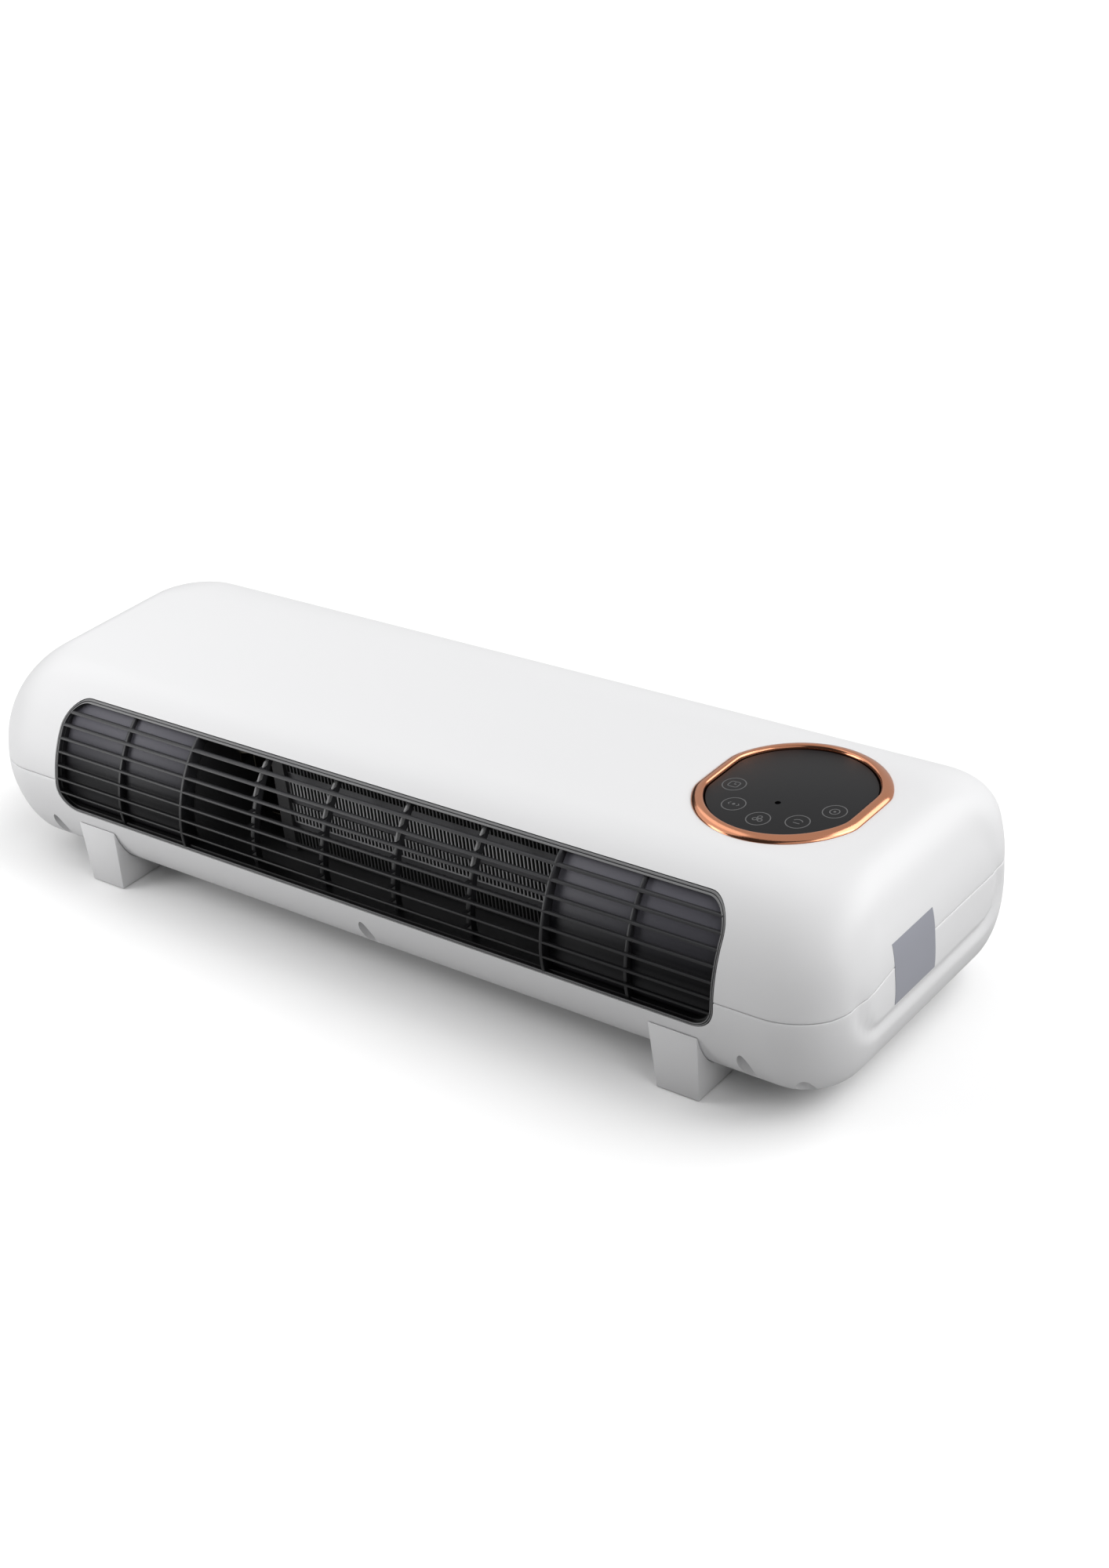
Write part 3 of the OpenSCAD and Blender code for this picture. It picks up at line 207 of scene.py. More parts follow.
# Both skins end alike: the blend mixes the two colours and swings the roughness about its middle
def endSkin(tree, given, result, blend, height):
    tone = mixColours(tree, blend, given.outputs["Colour"], given.outputs["Second Colour"])
    swing = mathNode(tree, "SUBTRACT", blend, 0.5)
    rough = mathNode(tree, "MULTIPLY_ADD", swing, given.outputs["Spread"], given.outputs["Roughness"])
    for label, value in (("Colour", tone), ("Roughness", rough), ("Height", height)):
        tree.links.new(value, result.inputs[label])
    return tree


# A moulded or cast skin: a slow drift of tone, fine grain, and a spread of roughness
def makeMouldedGroup():
    drift, grain = pattern["drift"], pattern["grain"]
    inputs = {**skinInputs, "Drift Scale": drift["scale"], "Grain Scale": grain["scale"]}
    tree, given, result = groupShell("mouldedSkin", inputs, skinOutputs)
    slow = noiseNode(tree, given.outputs["Vector"], given.outputs["Drift Scale"], drift["detail"])
    fine = noiseNode(tree, given.outputs["Vector"], given.outputs["Grain Scale"], grain["detail"])
    blend = mathNode(tree, "MULTIPLY_ADD", slow, drift["share"],
                     mathNode(tree, "MULTIPLY", fine, grain["share"]))
    return endSkin(tree, given, result, blend, fine)


# Metal with fine lines drawn along one direction, and faint stains
def makeDrawnGroup():
    lines, stain = pattern["lines"], pattern["stain"]
    tree, given, result = groupShell("drawnMetal", skinInputs, skinOutputs)
    stretch = addNode(tree, "ShaderNodeMapping", Scale=lines["scale"])
    tree.links.new(given.outputs["Vector"], stretch.inputs["Vector"])
    drawn = noiseNode(tree, stretch.outputs[0], 1.0, lines["detail"])
    stained = noiseNode(tree, given.outputs["Vector"], stain["scale"], stain["detail"])
    blend = mathNode(tree, "MULTIPLY_ADD", drawn, lines["share"],
                     mathNode(tree, "MULTIPLY", stained, stain["share"]))
    return endSkin(tree, given, result, blend, drawn)


# Painted shade: a colour that darkens with height towards the bottom, from the high colour down to the low
# one
def makePaintedShadeGroup():
    inputs = {"Vector": (0, 0, 0), "High Colour": (0.8, 0.8, 0.8, 1), "Low Colour": (0.2, 0.2, 0.2, 1),
              "Low": 0.0, "High": 1.0}
    tree, given, result = groupShell("heightFade", inputs, {"Colour": "NodeSocketColor"})
    axes = addNode(tree, "ShaderNodeSeparateXYZ")
    ramp = addNode(tree, "ShaderNodeMapRange", [("interpolation_type", "SMOOTHSTEP")])
    tree.links.new(given.outputs["Vector"], axes.inputs[0])
    for source, label in ((axes.outputs["Z"], "Value"), (given.outputs["Low"], "From Min"),
                          (given.outputs["High"], "From Max")):
        tree.links.new(source, ramp.inputs[label])
    low, high = given.outputs["Low Colour"], given.outputs["High Colour"]
    tree.links.new(mixColours(tree, ramp.outputs["Result"], low, high), result.inputs["Colour"])
    return tree


groups = {"moulded": makeMouldedGroup(), "drawn": makeDrawnGroup(), "fade": makePaintedShadeGroup()}

# What a finish of each skin has where it doesn't say otherwise; depths are in millimetres
usual = {
    "moulded": {"spread": 0.1, "grain": 900, "depth": 0.01, "metal": 0.0, "gloss": 0.5},
    "drawn": {"spread": 0.2, "depth": 0.01, "metal": 1.0, "gloss": 0.5},
}

# Moulded finishes by name. A painted shade darkens a finish to its own colour towards the bottom, between
# two heights in millimetres.
mouldedFinishes = {
    "whiteShell": {"colour": (0.662, 0.662, 0.668), "second": (0.65, 0.65, 0.657), "roughness": 0.42,
                   "spread": 0.06, "grain": 700, "depth": 0.006, "gloss": 0.4},
    "whiteGrille": {"colour": (0.66, 0.66, 0.665), "second": (0.63, 0.63, 0.64), "roughness": 0.35},
    # Painted shade: the grille darkens towards the bottom rows, where less light falls
    "darkGrille": {"colour": (0.022, 0.022, 0.024), "second": (0.03, 0.03, 0.033), "roughness": 0.36,
                   "grain": 1100, "depth": 0.012, "gloss": 0.3,
                   "fade": {"colour": (0.003, 0.003, 0.0035), "low": 40.0, "high": 84.0}},
    # Painted shade: the blank panels darken towards the bottom rows, where less light falls
    "blankPanel": {"colour": (0.115, 0.113, 0.132), "second": (0.135, 0.133, 0.155), "roughness": 0.45,
                   "spread": 0.06, "grain": 1400, "depth": 0.008, "gloss": 0.18,
                   "fade": {"colour": (0.003, 0.003, 0.004), "low": 56.0, "high": 82.0}},
    # A painted highlight: light grey for the glint on the fronts of the middle ribs in the upper rows
    "ribPin": {"colour": (0.19, 0.19, 0.193), "second": (0.23, 0.23, 0.233), "roughness": 0.5,
               "depth": 0.008, "gloss": 0.3},
    # A painted highlight: the frame's lips are lighter grey than the rest of the grille, for two light edge
    # lines
    "grilleLip": {"colour": (0.13, 0.13, 0.133), "second": (0.16, 0.16, 0.163), "roughness": 0.4,
                  "depth": 0.008},
    "copperTrim": {"colour": (0.6, 0.265, 0.155), "second": (0.54, 0.235, 0.135), "roughness": 0.15,
                   "spread": 0.04, "grain": 500, "depth": 0.002, "metal": 1.0},
    "panelGlass": {"colour": (0.011, 0.011, 0.012), "second": (0.0135, 0.0135, 0.0145), "roughness": 0.46,
                   "spread": 0.04, "grain": 1500, "depth": 0.002, "gloss": 0.18},
    "keyMark": {"colour": (0.085, 0.085, 0.087), "second": (0.105, 0.105, 0.107), "roughness": 0.4,
                "spread": 0.05, "grain": 1500, "depth": 0.001, "gloss": 0.2},
    "eyeBlack": {"colour": (0.001, 0.001, 0.001), "second": (0.002, 0.002, 0.002), "roughness": 0.9,
                 "spread": 0.05, "depth": 0.001, "gloss": 0.0},
    "blackPart": {"colour": (0.012, 0.012, 0.013), "second": (0.02, 0.02, 0.021), "roughness": 0.35,
                  "grain": 1200},
    "panelFrame": {"colour": (0.02, 0.02, 0.021), "second": (0.03, 0.03, 0.031), "roughness": 0.5,
                   "grain": 1200, "depth": 0.015},
    "greyDuct": {"colour": (0.016, 0.016, 0.017), "second": (0.024, 0.024, 0.025), "roughness": 0.6,
                 "depth": 0.015},
    "greyPart": {"colour": (0.22, 0.22, 0.22), "second": (0.28, 0.28, 0.28), "roughness": 0.5,
                 "depth": 0.015},
    "filterNet": {"colour": (0.05, 0.052, 0.055), "second": (0.12, 0.122, 0.125), "roughness": 0.8,
                  "grain": 2500, "depth": 0.15},
    "blackRubber": {"colour": (0.02, 0.02, 0.02), "second": (0.035, 0.035, 0.035), "roughness": 0.75,
                    "spread": 0.15, "grain": 1800, "depth": 0.03},
    "wheelPlastic": {"colour": (0.03, 0.03, 0.032), "second": (0.045, 0.045, 0.048), "roughness": 0.5,
                     "depth": 0.015},
    "circuitBoard": {"colour": (0.01, 0.09, 0.035), "second": (0.015, 0.13, 0.05), "roughness": 0.35,
                     "grain": 400},
    "relayCase": {"colour": (0.02, 0.07, 0.28), "second": (0.03, 0.09, 0.34), "roughness": 0.3,
                  "spread": 0.08, "grain": 800},
    "capacitorCase": {"colour": (0.55, 0.35, 0.02), "second": (0.62, 0.42, 0.04), "roughness": 0.3,
                      "spread": 0.08, "grain": 800},
    "transformerTape": {"colour": (0.6, 0.35, 0.06), "second": (0.68, 0.42, 0.09), "roughness": 0.4,
                        "grain": 600, "depth": 0.02},
    "fuseBody": {"colour": (0.7, 0.68, 0.62), "second": (0.76, 0.74, 0.68), "roughness": 0.3,
                 "spread": 0.08, "grain": 700},
    "labelFoil": {"colour": (0.24, 0.246, 0.28), "second": (0.285, 0.291, 0.33), "roughness": 0.45,
                  "grain": 1300, "depth": 0.004},
}

# Drawn metals by name
drawnFinishes = {
    "steelScrew": {"colour": (0.5, 0.5, 0.51), "second": (0.36, 0.36, 0.37), "roughness": 0.32},
    "shaftSteel": {"colour": (0.55, 0.55, 0.56), "second": (0.42, 0.42, 0.43), "roughness": 0.25,
                   "spread": 0.15},
    "statorSteel": {"colour": (0.2, 0.2, 0.21), "second": (0.13, 0.13, 0.14), "roughness": 0.4,
                    "depth": 0.02},
    "finMetal": {"colour": (0.075, 0.075, 0.077), "second": (0.045, 0.045, 0.046), "roughness": 0.5,
                 "metal": 0.4},
    # Lit and shaded copies of the fins' edge colour: painted light for the middle rows, painted shade for
    # the outer rows
    "finEdge": {"colour": (0.5, 0.5, 0.51), "second": (0.36, 0.36, 0.37), "roughness": 0.4,
                "spread": 0.15, "metal": 0.3},
    "finShade": {"colour": (0.1, 0.1, 0.102), "second": (0.07, 0.07, 0.072), "roughness": 0.5,
                 "spread": 0.15, "metal": 0.3},
    "tubeMetal": {"colour": (0.12, 0.12, 0.125), "second": (0.08, 0.08, 0.085), "roughness": 0.5,
                  "metal": 0.6},
    "terminalMetal": {"colour": (0.14, 0.125, 0.1), "second": (0.1, 0.09, 0.075), "roughness": 0.4},
    "copperWire": {"colour": (0.55, 0.2, 0.08), "second": (0.42, 0.14, 0.05), "roughness": 0.35,
                   "depth": 0.04, "metal": 0.8},
    "bracketMetal": {"colour": (0.5, 0.5, 0.52), "second": (0.38, 0.38, 0.4), "roughness": 0.35},
    "bushBronze": {"colour": (0.4, 0.25, 0.1), "second": (0.3, 0.18, 0.07), "roughness": 0.45},
    "springMetal": {"colour": (0.65, 0.5, 0.22), "second": (0.5, 0.38, 0.16), "roughness": 0.28,
                    "spread": 0.15},
}


def placeGroup(tree, groupName, vector, values):
    node = tree.nodes.new("ShaderNodeGroup")
    node.node_tree = groups[groupName]
    tree.links.new(vector, node.inputs["Vector"])
    for label, value in values.items():
        feed(tree, node.inputs[label], value)
    return node


def makeFinish(name, skinName, ownValues):
    values = {**usual[skinName], **ownValues}
    material = bpy.data.materials.new(name)
    material.use_nodes = True
    tree = material.node_tree
    shader = tree.nodes["Principled BSDF"]
    place = tree.nodes.new("ShaderNodeTexCoord").outputs["Object"]
    skinValues = {"Colour": (*values["colour"], 1), "Second Colour": (*values["second"], 1),
                  "Roughness": values["roughness"], "Spread": values["spread"]}
    if skinName == "moulded":
        skinValues["Grain Scale"] = values["grain"]
    skin = placeGroup(tree, skinName, place, skinValues)
    bump = addNode(tree, "ShaderNodeBump", Strength=1.0, Distance=values["depth"] * mm)
    tone = skin.outputs["Colour"]
    # Painted shade: the base colour darkens towards the bottom
    if "fade" in values:
        fade = values["fade"]
        paintedShadeValues = {"High Colour": tone, "Low Colour": (*fade["colour"], 1),
                      "Low": fade["low"] * mm, "High": fade["high"] * mm}
        tone = placeGroup(tree, "fade", place, paintedShadeValues).outputs["Colour"]
    tree.links.new(tone, shader.inputs["Base Color"])
    tree.links.new(skin.outputs["Roughness"], shader.inputs["Roughness"])
    tree.links.new(skin.outputs["Height"], bump.inputs["Height"])
    tree.links.new(bump.outputs["Normal"], shader.inputs["Normal"])
    shader.inputs["Metallic"].default_value = values["metal"]
    shader.inputs["Specular IOR Level"].default_value = values["gloss"]
    return material


materials = {name: makeFinish(name, skinName, ownValues)
             for skinName, finishes in (("moulded", mouldedFinishes), ("drawn", drawnFinishes))
             for name, ownValues in finishes.items()}
nodeSlot = {part["node"]: part["material_slot"] for part in frame["record"]["subparts"]}


# A slot has the finish of its own name, such as whiteShell for white_shell, apart from the rocker's cap
def slotFinish(slotName):
    if slotName == "rocker_cap":
        return "blackPart"
    first, *others = slotName.split("_")
    return first + "".join(word.capitalize() for word in others)


for nodeName, obj in nodes.items():
    obj.data.materials.clear()
    obj.data.materials.append(materials[slotFinish(nodeSlot[nodeName])])
print("finishes made:", len(materials))


# Helpers for meshes
def asObject(name, bm, finish=None):
    bmesh.ops.scale(bm, vec=(mm, mm, mm), verts=bm.verts)
    mesh = bpy.data.meshes.new(name)
    bm.to_mesh(mesh)
    bm.free()
    obj = bpy.data.objects.new(name, mesh)
    bpy.context.collection.objects.link(obj)
    if finish:
        mesh.materials.append(materials[finish])
    return obj


def standsFor(obj, bodyName, slotName, *nodeNames):
    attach(obj, bodyName)
    if nodeNames:
        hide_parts(*nodeNames)


def moveTo(verts, places):
    for vert, place in zip(verts, places):
        vert.co = place


# A skin drawn from ring to ring; each ring is a list of places, all of one length
def loft(rings, ends="fill"):
    bm = bmesh.new()
    verts = bmesh.ops.create_circle(bm, segments=len(rings[0]), radius=1)["verts"]
    moveTo(verts, rings[0])
    firstEdges = list(bm.edges)
    edges = firstEdges
    for ring in rings[1:]:
        made = bmesh.ops.extrude_edge_only(bm, edges=edges)["geom"]
        fresh = {item for item in made if isinstance(item, bmesh.types.BMVert)}
        verts = [next(e.other_vert(v) for e in v.link_edges if e.other_vert(v) in fresh) for v in verts]
        moveTo(verts, ring)
        edges = [item for item in made
                 if isinstance(item, bmesh.types.BMEdge) and set(item.verts) <= fresh]
    if ends == "join":
        bmesh.ops.bridge_loops(bm, edges=firstEdges + edges)
    if ends == "fill":
        bmesh.ops.edgeloop_fill(bm, edges=firstEdges)
        bmesh.ops.edgeloop_fill(bm, edges=edges)
    bmesh.ops.recalc_face_normals(bm, faces=bm.faces)
    return bm


def arcPoints(x, y, radius, start, end, steps):
    turns = [math.radians(start + (end - start) * i / steps) for i in range(steps + 1)]
    return [(x + radius * math.cos(a), y + radius * math.sin(a)) for a in turns]


def roundedOutline(x0, x1, y0, y1, radius, steps=12, sideSteps=1):
    corners = ((x1 - radius, y1 - radius, 0), (x0 + radius, y1 - radius, 90),
               (x0 + radius, y0 + radius, 180), (x1 - radius, y0 + radius, 270))
    points = []
    for x, y, a in corners:
        points += arcPoints(x, y, radius, a, a + 90, steps)
        if a in (90, 270):      # the two sides that run along the second axis
            far = y0 + radius if a == 90 else y1 - radius
            rim = x0 if a == 90 else x1
            points += [(rim, y + (far - y) * i / sideSteps) for i in range(1, sideSteps)]
    return points


# A straight prism over a flat outline, along axis 0, 1 or 2
def prism(outline, axis, low, high):
    def lift(p, level):
        place = list(p)
        place.insert(axis, level)
        return Vector(place)
    return loft([[lift(p, low) for p in outline], [lift(p, high) for p in outline]])


def joined(parts):
    whole = bmesh.new()
    for part in parts:
        mesh = bpy.data.meshes.new("part")
        part.to_mesh(mesh)
        part.free()
        whole.from_mesh(mesh)
        bpy.data.meshes.remove(mesh)
    return whole


# Takes the cutters out of a piece, or keeps only what lies within them
def carve(obj, cutters, operation="DIFFERENCE"):
    tools = [asObject("cutter", bm) for bm in cutters]
    for tool in tools:
        step = obj.modifiers.new("carve", "BOOLEAN")
        step.operation = operation
        step.solver = "EXACT"
        step.object = tool
    graph = bpy.context.evaluated_depsgraph_get()
    mesh = bpy.data.meshes.new_from_object(obj.evaluated_get(graph))
    obj.modifiers.clear()
    old = obj.data
    obj.data = mesh
    bpy.data.meshes.remove(old)
    for tool in tools:
        bpy.data.objects.remove(tool)
    return obj


# Body: two satin covers drawn from the same outline at every height
body = {
    "halfLength": 240.0, "halfDepth": 77.5, "bottom": 10.7, "top": 94.2, "wall": 2.5, "skin": 0.03,
    "corner": 33.0, "cornerTop": 17.5, "leastCorner": 2.0, "frontRoundY": 44.0, "frontRoundZ": 54.0,
    "rearRoundY": 35.0, "rearRoundZ": 19.0, "endRoundX": 23.0, "endRoundZ": 36.0,
    "baseRound": 19.0, "baseRoundZ": 41.0, "partLow": 51.7, "partRise": 6.5,
    "rampStart": -66.0, "rampEnd": -30.0, "seam": 0.15, "edge": 0.4,
}


def quarter(distance, reach, height):
    if distance >= height:
        return 0.0
    return reach * (1 - math.sqrt(1 - (1 - max(distance, 0) / height) ** 2))


def baseIn(z, w):
    return quarter(z - body["bottom"] - w, body["baseRound"] - w, body["baseRoundZ"] - w)


def sideIn(z, w, reach, height):
    return quarter(body["top"] - w - z, body[reach] - w, body[height] - w) + baseIn(z, w)


# Where the front bulges most between these heights, it is let out to the full depth of the body
bulge = {"low": 30.7, "step": 0.1, "count": 436}
relief = min(sideIn(bulge["low"] + bulge["step"] * i, 0, "frontRoundY", "frontRoundZ")
             for i in range(bulge["count"]))


def frontY(z):
    return -body["halfDepth"] + sideIn(z, 0, "frontRoundY", "frontRoundZ") - relief


# Shallow scoop in the right end: soft above, and with a fold along its lower edge
scoop = {
    "fromX": 150.0, "y0": -60.0, "y1": 56.0, "z0": 30.7, "z1": 88.0, "round": 20.0, "depth": 0.8,
    "soft": 12.0, "fold": 1.7, "rearFold": 0.6, "rearReach": 40.0, "rise": 7.0, "fall": 2.0,
    "foldTop": 8.0, "foldFade": 20.0,
}


def eased(share):
    share = min(max(share, 0), 1)
    return share * share * (3 - 2 * share)


def scoopDepth(y, z):
    midY, midZ = (scoop["y0"] + scoop["y1"]) / 2, (scoop["z0"] + scoop["z1"]) / 2
    pastY = abs(y - midY) - (scoop["y1"] - scoop["y0"]) / 2 + scoop["round"]
    pastZ = abs(z - midZ) - (scoop["z1"] - scoop["z0"]) / 2 + scoop["round"]
    within = scoop["round"] - math.hypot(max(pastY, 0), max(pastZ, 0)) - min(max(pastY, pastZ), 0)
    fold = scoop["fold"] + scoop["rearFold"] * eased(y / scoop["rearReach"])
    plain = scoop["depth"] * eased(within / scoop["soft"])
    folded = fold * eased(within / scoop["rise"])
    folded -= (fold - scoop["depth"]) * eased((within - scoop["rise"]) / scoop["fall"])
    lowness = eased((midZ + scoop["foldTop"] - z) / scoop["foldFade"])
    return plain + (folded - plain) * lowness


# Columns stand round the body, each known by its corner or the side after it, and a share of the way
def makeColumns(cornerSteps, longSteps, leftSteps, rightSteps):
    columns = []
    for corner, sideSteps in enumerate((longSteps, leftSteps, longSteps, rightSteps)):
        columns += [("corner", corner, i / cornerSteps) for i in range(cornerSteps + 1)]
        columns += [("side", corner, i / sideSteps) for i in range(1, sideSteps)]
    return columns


# The place on a column at height z, set in by w
def columnPlace(column, z, w):
    kind, corner, share = column
    x = body["halfLength"] - w - sideIn(z, w, "endRoundX", "endRoundZ")
    low = -body["halfDepth"] + w + sideIn(z, w, "frontRoundY", "frontRoundZ") - relief
    high = body["halfDepth"] - w - sideIn(z, w, "rearRoundY", "rearRoundZ")
    narrowing = quarter(body["top"] - w - z, 1, body["frontRoundZ"] - w)
    radius = max(body["leastCorner"], body["corner"] - w - baseIn(z, w)
                 - (body["corner"] - body["cornerTop"]) * narrowing)
    centres = ((x - radius, high - radius), (radius - x, high - radius),
               (radius - x, low + radius), (x - radius, low + radius))

    def onCorner(which, part):
        turn = math.radians(90 * (which + part))
        return centres[which][0] + radius * math.cos(turn), centres[which][1] + radius * math.sin(turn)

    if kind == "corner":
        px, py = onCorner(corner, share)
    else:
        start, end = onCorner(corner, 1), onCorner((corner + 1) % 4, 0)
        px = start[0] + (end[0] - start[0]) * share
        py = start[1] + (end[1] - start[1]) * share
    if px > scoop["fromX"]:
        px -= scoopDepth(py, z)
    return Vector((px, py, z))


def partHeight(y):
    share = (y - body["rampStart"]) / (body["rampEnd"] - body["rampStart"])
    share = min(max(share, 0), 1)
    return body["partLow"] + body["partRise"] * share


# The seam's height depends on its depth and the other way round, which settles after a few rounds
def seamHeight(column, w, rounds=6):
    z = body["partLow"]
    for _ in range(rounds):
        z = partHeight(columnPlace(column, z, w).y)
    return z


# One cover as a closed shell: up (or down) the outer skin, over the end, and back inside
def coverShell(columns, side, stepAngle):
    skin, wall, edge = body["skin"], body["wall"], body["edge"]
    turns = [math.radians(a) for a in range(0, 91, stepAngle)]
    outerEnd = body["top"] - skin if side > 0 else body["bottom"] + skin
    innerEnd = outerEnd - side * wall
    outerSeam = [seamHeight(c, skin) + side * body["seam"] for c in columns]
    rings = []
    for a in turns[::-1]:
        ring = []
        for column, seam in zip(columns, outerSeam):
            start = seam + side * edge
            ring.append(columnPlace(column, outerEnd - (outerEnd - start) * (1 - math.sin(a)), skin))
        rings.append(ring)
    for a in [math.radians(step) for step in (30, 60, 90)]:
        inset, rise = edge * (1 - math.cos(a)), side * edge * (1 - math.sin(a))
        rings.append([columnPlace(c, s + rise, skin + inset) for c, s in zip(columns, outerSeam)])
    for a in turns:
        rings.append([columnPlace(c, innerEnd - (innerEnd - s) * (1 - math.sin(a)), wall)
                      for c, s in zip(columns, outerSeam)])
    return loft(rings)


# Two ways of softening: edges sharper than an angle are bevelled, or the faces are shaded smooth
def soften(bm, width, angle=40):
    limit = math.radians(angle)
    edges = [e for e in bm.edges
             if len(e.link_faces) == 2 and e.calc_face_angle(0) > limit and e.is_convex]
    bmesh.ops.bevel(bm, geom=edges, offset=width, offset_type="OFFSET", affect="EDGES",
                    segments=2, profile=0.5, material=-1, clamp_overlap=True)


def shadeSmooth(obj, angle=35):
    obj.data.shade_smooth()
    obj.data.set_sharp_from_angle(angle=math.radians(angle))
    return obj


# A finished piece of the housing; one with an angle of 0 keeps its flat faces
def addPiece(name, bm, finish, slotName, *nodeNames, angle=35):
    obj = asObject(name, bm, finish)
    if angle:
        shadeSmooth(obj, angle)
    standsFor(obj, "housing", slotName, *nodeNames)


def cleanMesh(bm, gap=0.002):
    bmesh.ops.remove_doubles(bm, verts=bm.verts, dist=gap * mm)
    bmesh.ops.dissolve_degenerate(bm, edges=bm.edges, dist=gap * mm)
    bmesh.ops.recalc_face_normals(bm, faces=bm.faces)


# A copy of a CAD node with merged points, flat faces joined up and softened edges
def dressed(nodeName, bodyName, width, flat=1):
    bm = bmesh.new()
    bm.from_mesh(nodes[nodeName].data)
    cleanMesh(bm)
    bmesh.ops.dissolve_limit(bm, angle_limit=math.radians(flat), use_dissolve_boundaries=False,
                             verts=bm.verts, edges=bm.edges, delimit={"NORMAL"})
    soften(bm, width * mm)
    bmesh.ops.scale(bm, vec=(1 / mm, 1 / mm, 1 / mm), verts=bm.verts)
    slotName = nodeSlot[nodeName]
    obj = shadeSmooth(asObject(nodeName + "-dressed", bm, slotFinish(slotName)))
    standsFor(obj, bodyName, slotName, nodeName)


# Openings of the covers, with the depths between which they are cut, and the plan of the ring
openings = {
    "grille": {"x0": -186.5, "x1": 186.5, "y0": -90.0, "y1": -32.0, "z0": 37.5, "z1": 87.1, "round": 12.0},
    "intake": {"x0": -104.0, "x1": 112.5, "y0": 63.0, "y1": 90.0, "z0": 36.7, "z1": 74.7, "round": 8.0},
    "gap": 0.3,
}
panel = {"x": 168.0, "y": 11.5, "radius": 40.6, "flat": 38.4, "ease": 0.7,
         "holeInset": 3.3, "holeLow": 88.0, "holeHigh": 99.0}


def barrelOutline(inset, steps=240):
    radius, flat = panel["radius"] - inset, panel["flat"] - inset
    points = []
    for i in range(steps):
        turn = 2 * math.pi * (i + 0.5) / steps
        reach = radius * math.cos(turn)
        over = abs(reach) - flat        # the round eases into the flat, it doesn't turn a corner
        reach = math.copysign(flat + (over - math.hypot(over, panel["ease"])) / 2, reach)
        points.append((panel["x"] + reach, panel["y"] + radius * math.sin(turn)))
    return points


def openingPrism(which):
    hole, gap = openings[which], openings["gap"]
    outline = roundedOutline(hole["x0"] - gap, hole["x1"] + gap, hole["z0"] - gap, hole["z1"] + gap,
                             hole["round"] + gap)
    return prism(outline, 1, hole["y0"], hole["y1"])


def boxAt(x0, x1, y0, y1, z0, z1):
    bm = bmesh.new()
    verts = bmesh.ops.create_cube(bm, size=1)["verts"]
    for v in verts:
        v.co = Vector((x1 if v.co.x > 0 else x0, y1 if v.co.y > 0 else y0, z1 if v.co.z > 0 else z0))
    return bm


def roundOutline(x, y, radius, steps=32):
    return arcPoints(x, y, radius, 0, 360, steps)[:-1]


bodyColumns = makeColumns(cornerSteps=18, longSteps=44, leftSteps=14, rightSteps=84)
frontCover = asObject("front-cover", coverShell(bodyColumns, 1, 2), "whiteShell")
frontNormals = frontCover.data.copy()
panelHole = prism(barrelOutline(panel["holeInset"]), 2, panel["holeLow"], panel["holeHigh"])
carve(frontCover, [openingPrism("grille"), openingPrism("intake"), panelHole])
print("front cover:", len(frontCover.data.polygons), "faces")

rearCover = asObject("rear-cover", coverShell(bodyColumns, -1, 2), "whiteShell")
rearNormals = rearCover.data.copy()

# Back of the body: keyholes, foot slots, screw wells, and the two flat seats in the left end
back = {
    "keyX": 130.0, "keyY": 36.0, "keyRadius": 4.5, "slotHalf": 2.2, "slotLength": 10.0,
    "footX": 165.0, "headY": 35.0, "neck": 8.6, "head": 14.6, "headLength": 10.6, "travel": 14.0,
    "cutLow": 8.0, "cutHigh": 14.0, "fit": 0.04,
    "wells": [(sx * x, sy * y) for x, y in ((196, 69.5), (218.5, 63.5))
              for sx in (-1, 1) for sy in (-1, 1)] + [(0, 69.5), (0, -69.5)],
    "wellRadius": 3.5, "wellStretch": 1.8, "wellLow": 5.0, "wellTop": 30.7, "wellShort": 0.1,
    "bossWall": 1.5, "bossLow": 9.0, "bossOver": 3.0, "trimInset": 0.6,
    "outsideX": -250.0, "endX": -240.0, "wallX": -236.0, "seatX": -235.0, "seatThick": 3.0,
    "seatWall": 2.0, "past": 1.0, "switchY": 20.0, "sideZ": 37.7, "pocketHalfY": 12.75,
    "pocketHalfZ": 9.0, "openHalfY": 9.75, "openHalfZ": 6.5, "glandY": -26.0, "glandRadius": 9.6,
    "glandHole": 6.0,
}


def keyholeOutline(x):
    half, radius = back["slotHalf"], back["keyRadius"]
    lean = math.degrees(math.asin(half / radius))
    head = arcPoints(x, back["keyY"], radius, 90 + lean, 450 - lean, 40)
    tail = arcPoints(x, back["keyY"] + back["slotLength"], half, 0, 180, 12)
    return head + tail


def rearCutters():
    low, high = back["cutLow"], back["cutHigh"]
    cutters = [openingPrism("grille"), openingPrism("intake")]
    cutters += [prism(keyholeOutline(sx * back["keyX"]), 2, low, high) for sx in (-1, 1)]
    for sx in (-1, 1):
        for sy in (-1, 1):
            x, y = sx * back["footX"], sy * back["headY"]
            y0, y1 = y - back["headLength"] / 2 - back["travel"], y + back["headLength"] / 2
            neck, head = back["neck"] / 2, back["head"] / 2
            turn = y0 + back["headLength"]
            slot = [(x - head, y0), (x + head, y0), (x + head, turn), (x + neck, turn),
                    (x + neck, y1), (x - neck, y1), (x - neck, turn), (x - head, turn)]
            cutters.append(prism(slot, 2, low, high))
    return cutters


carve(rearCover, rearCutters())
print("rear cover:", len(rearCover.data.polygons), "faces")


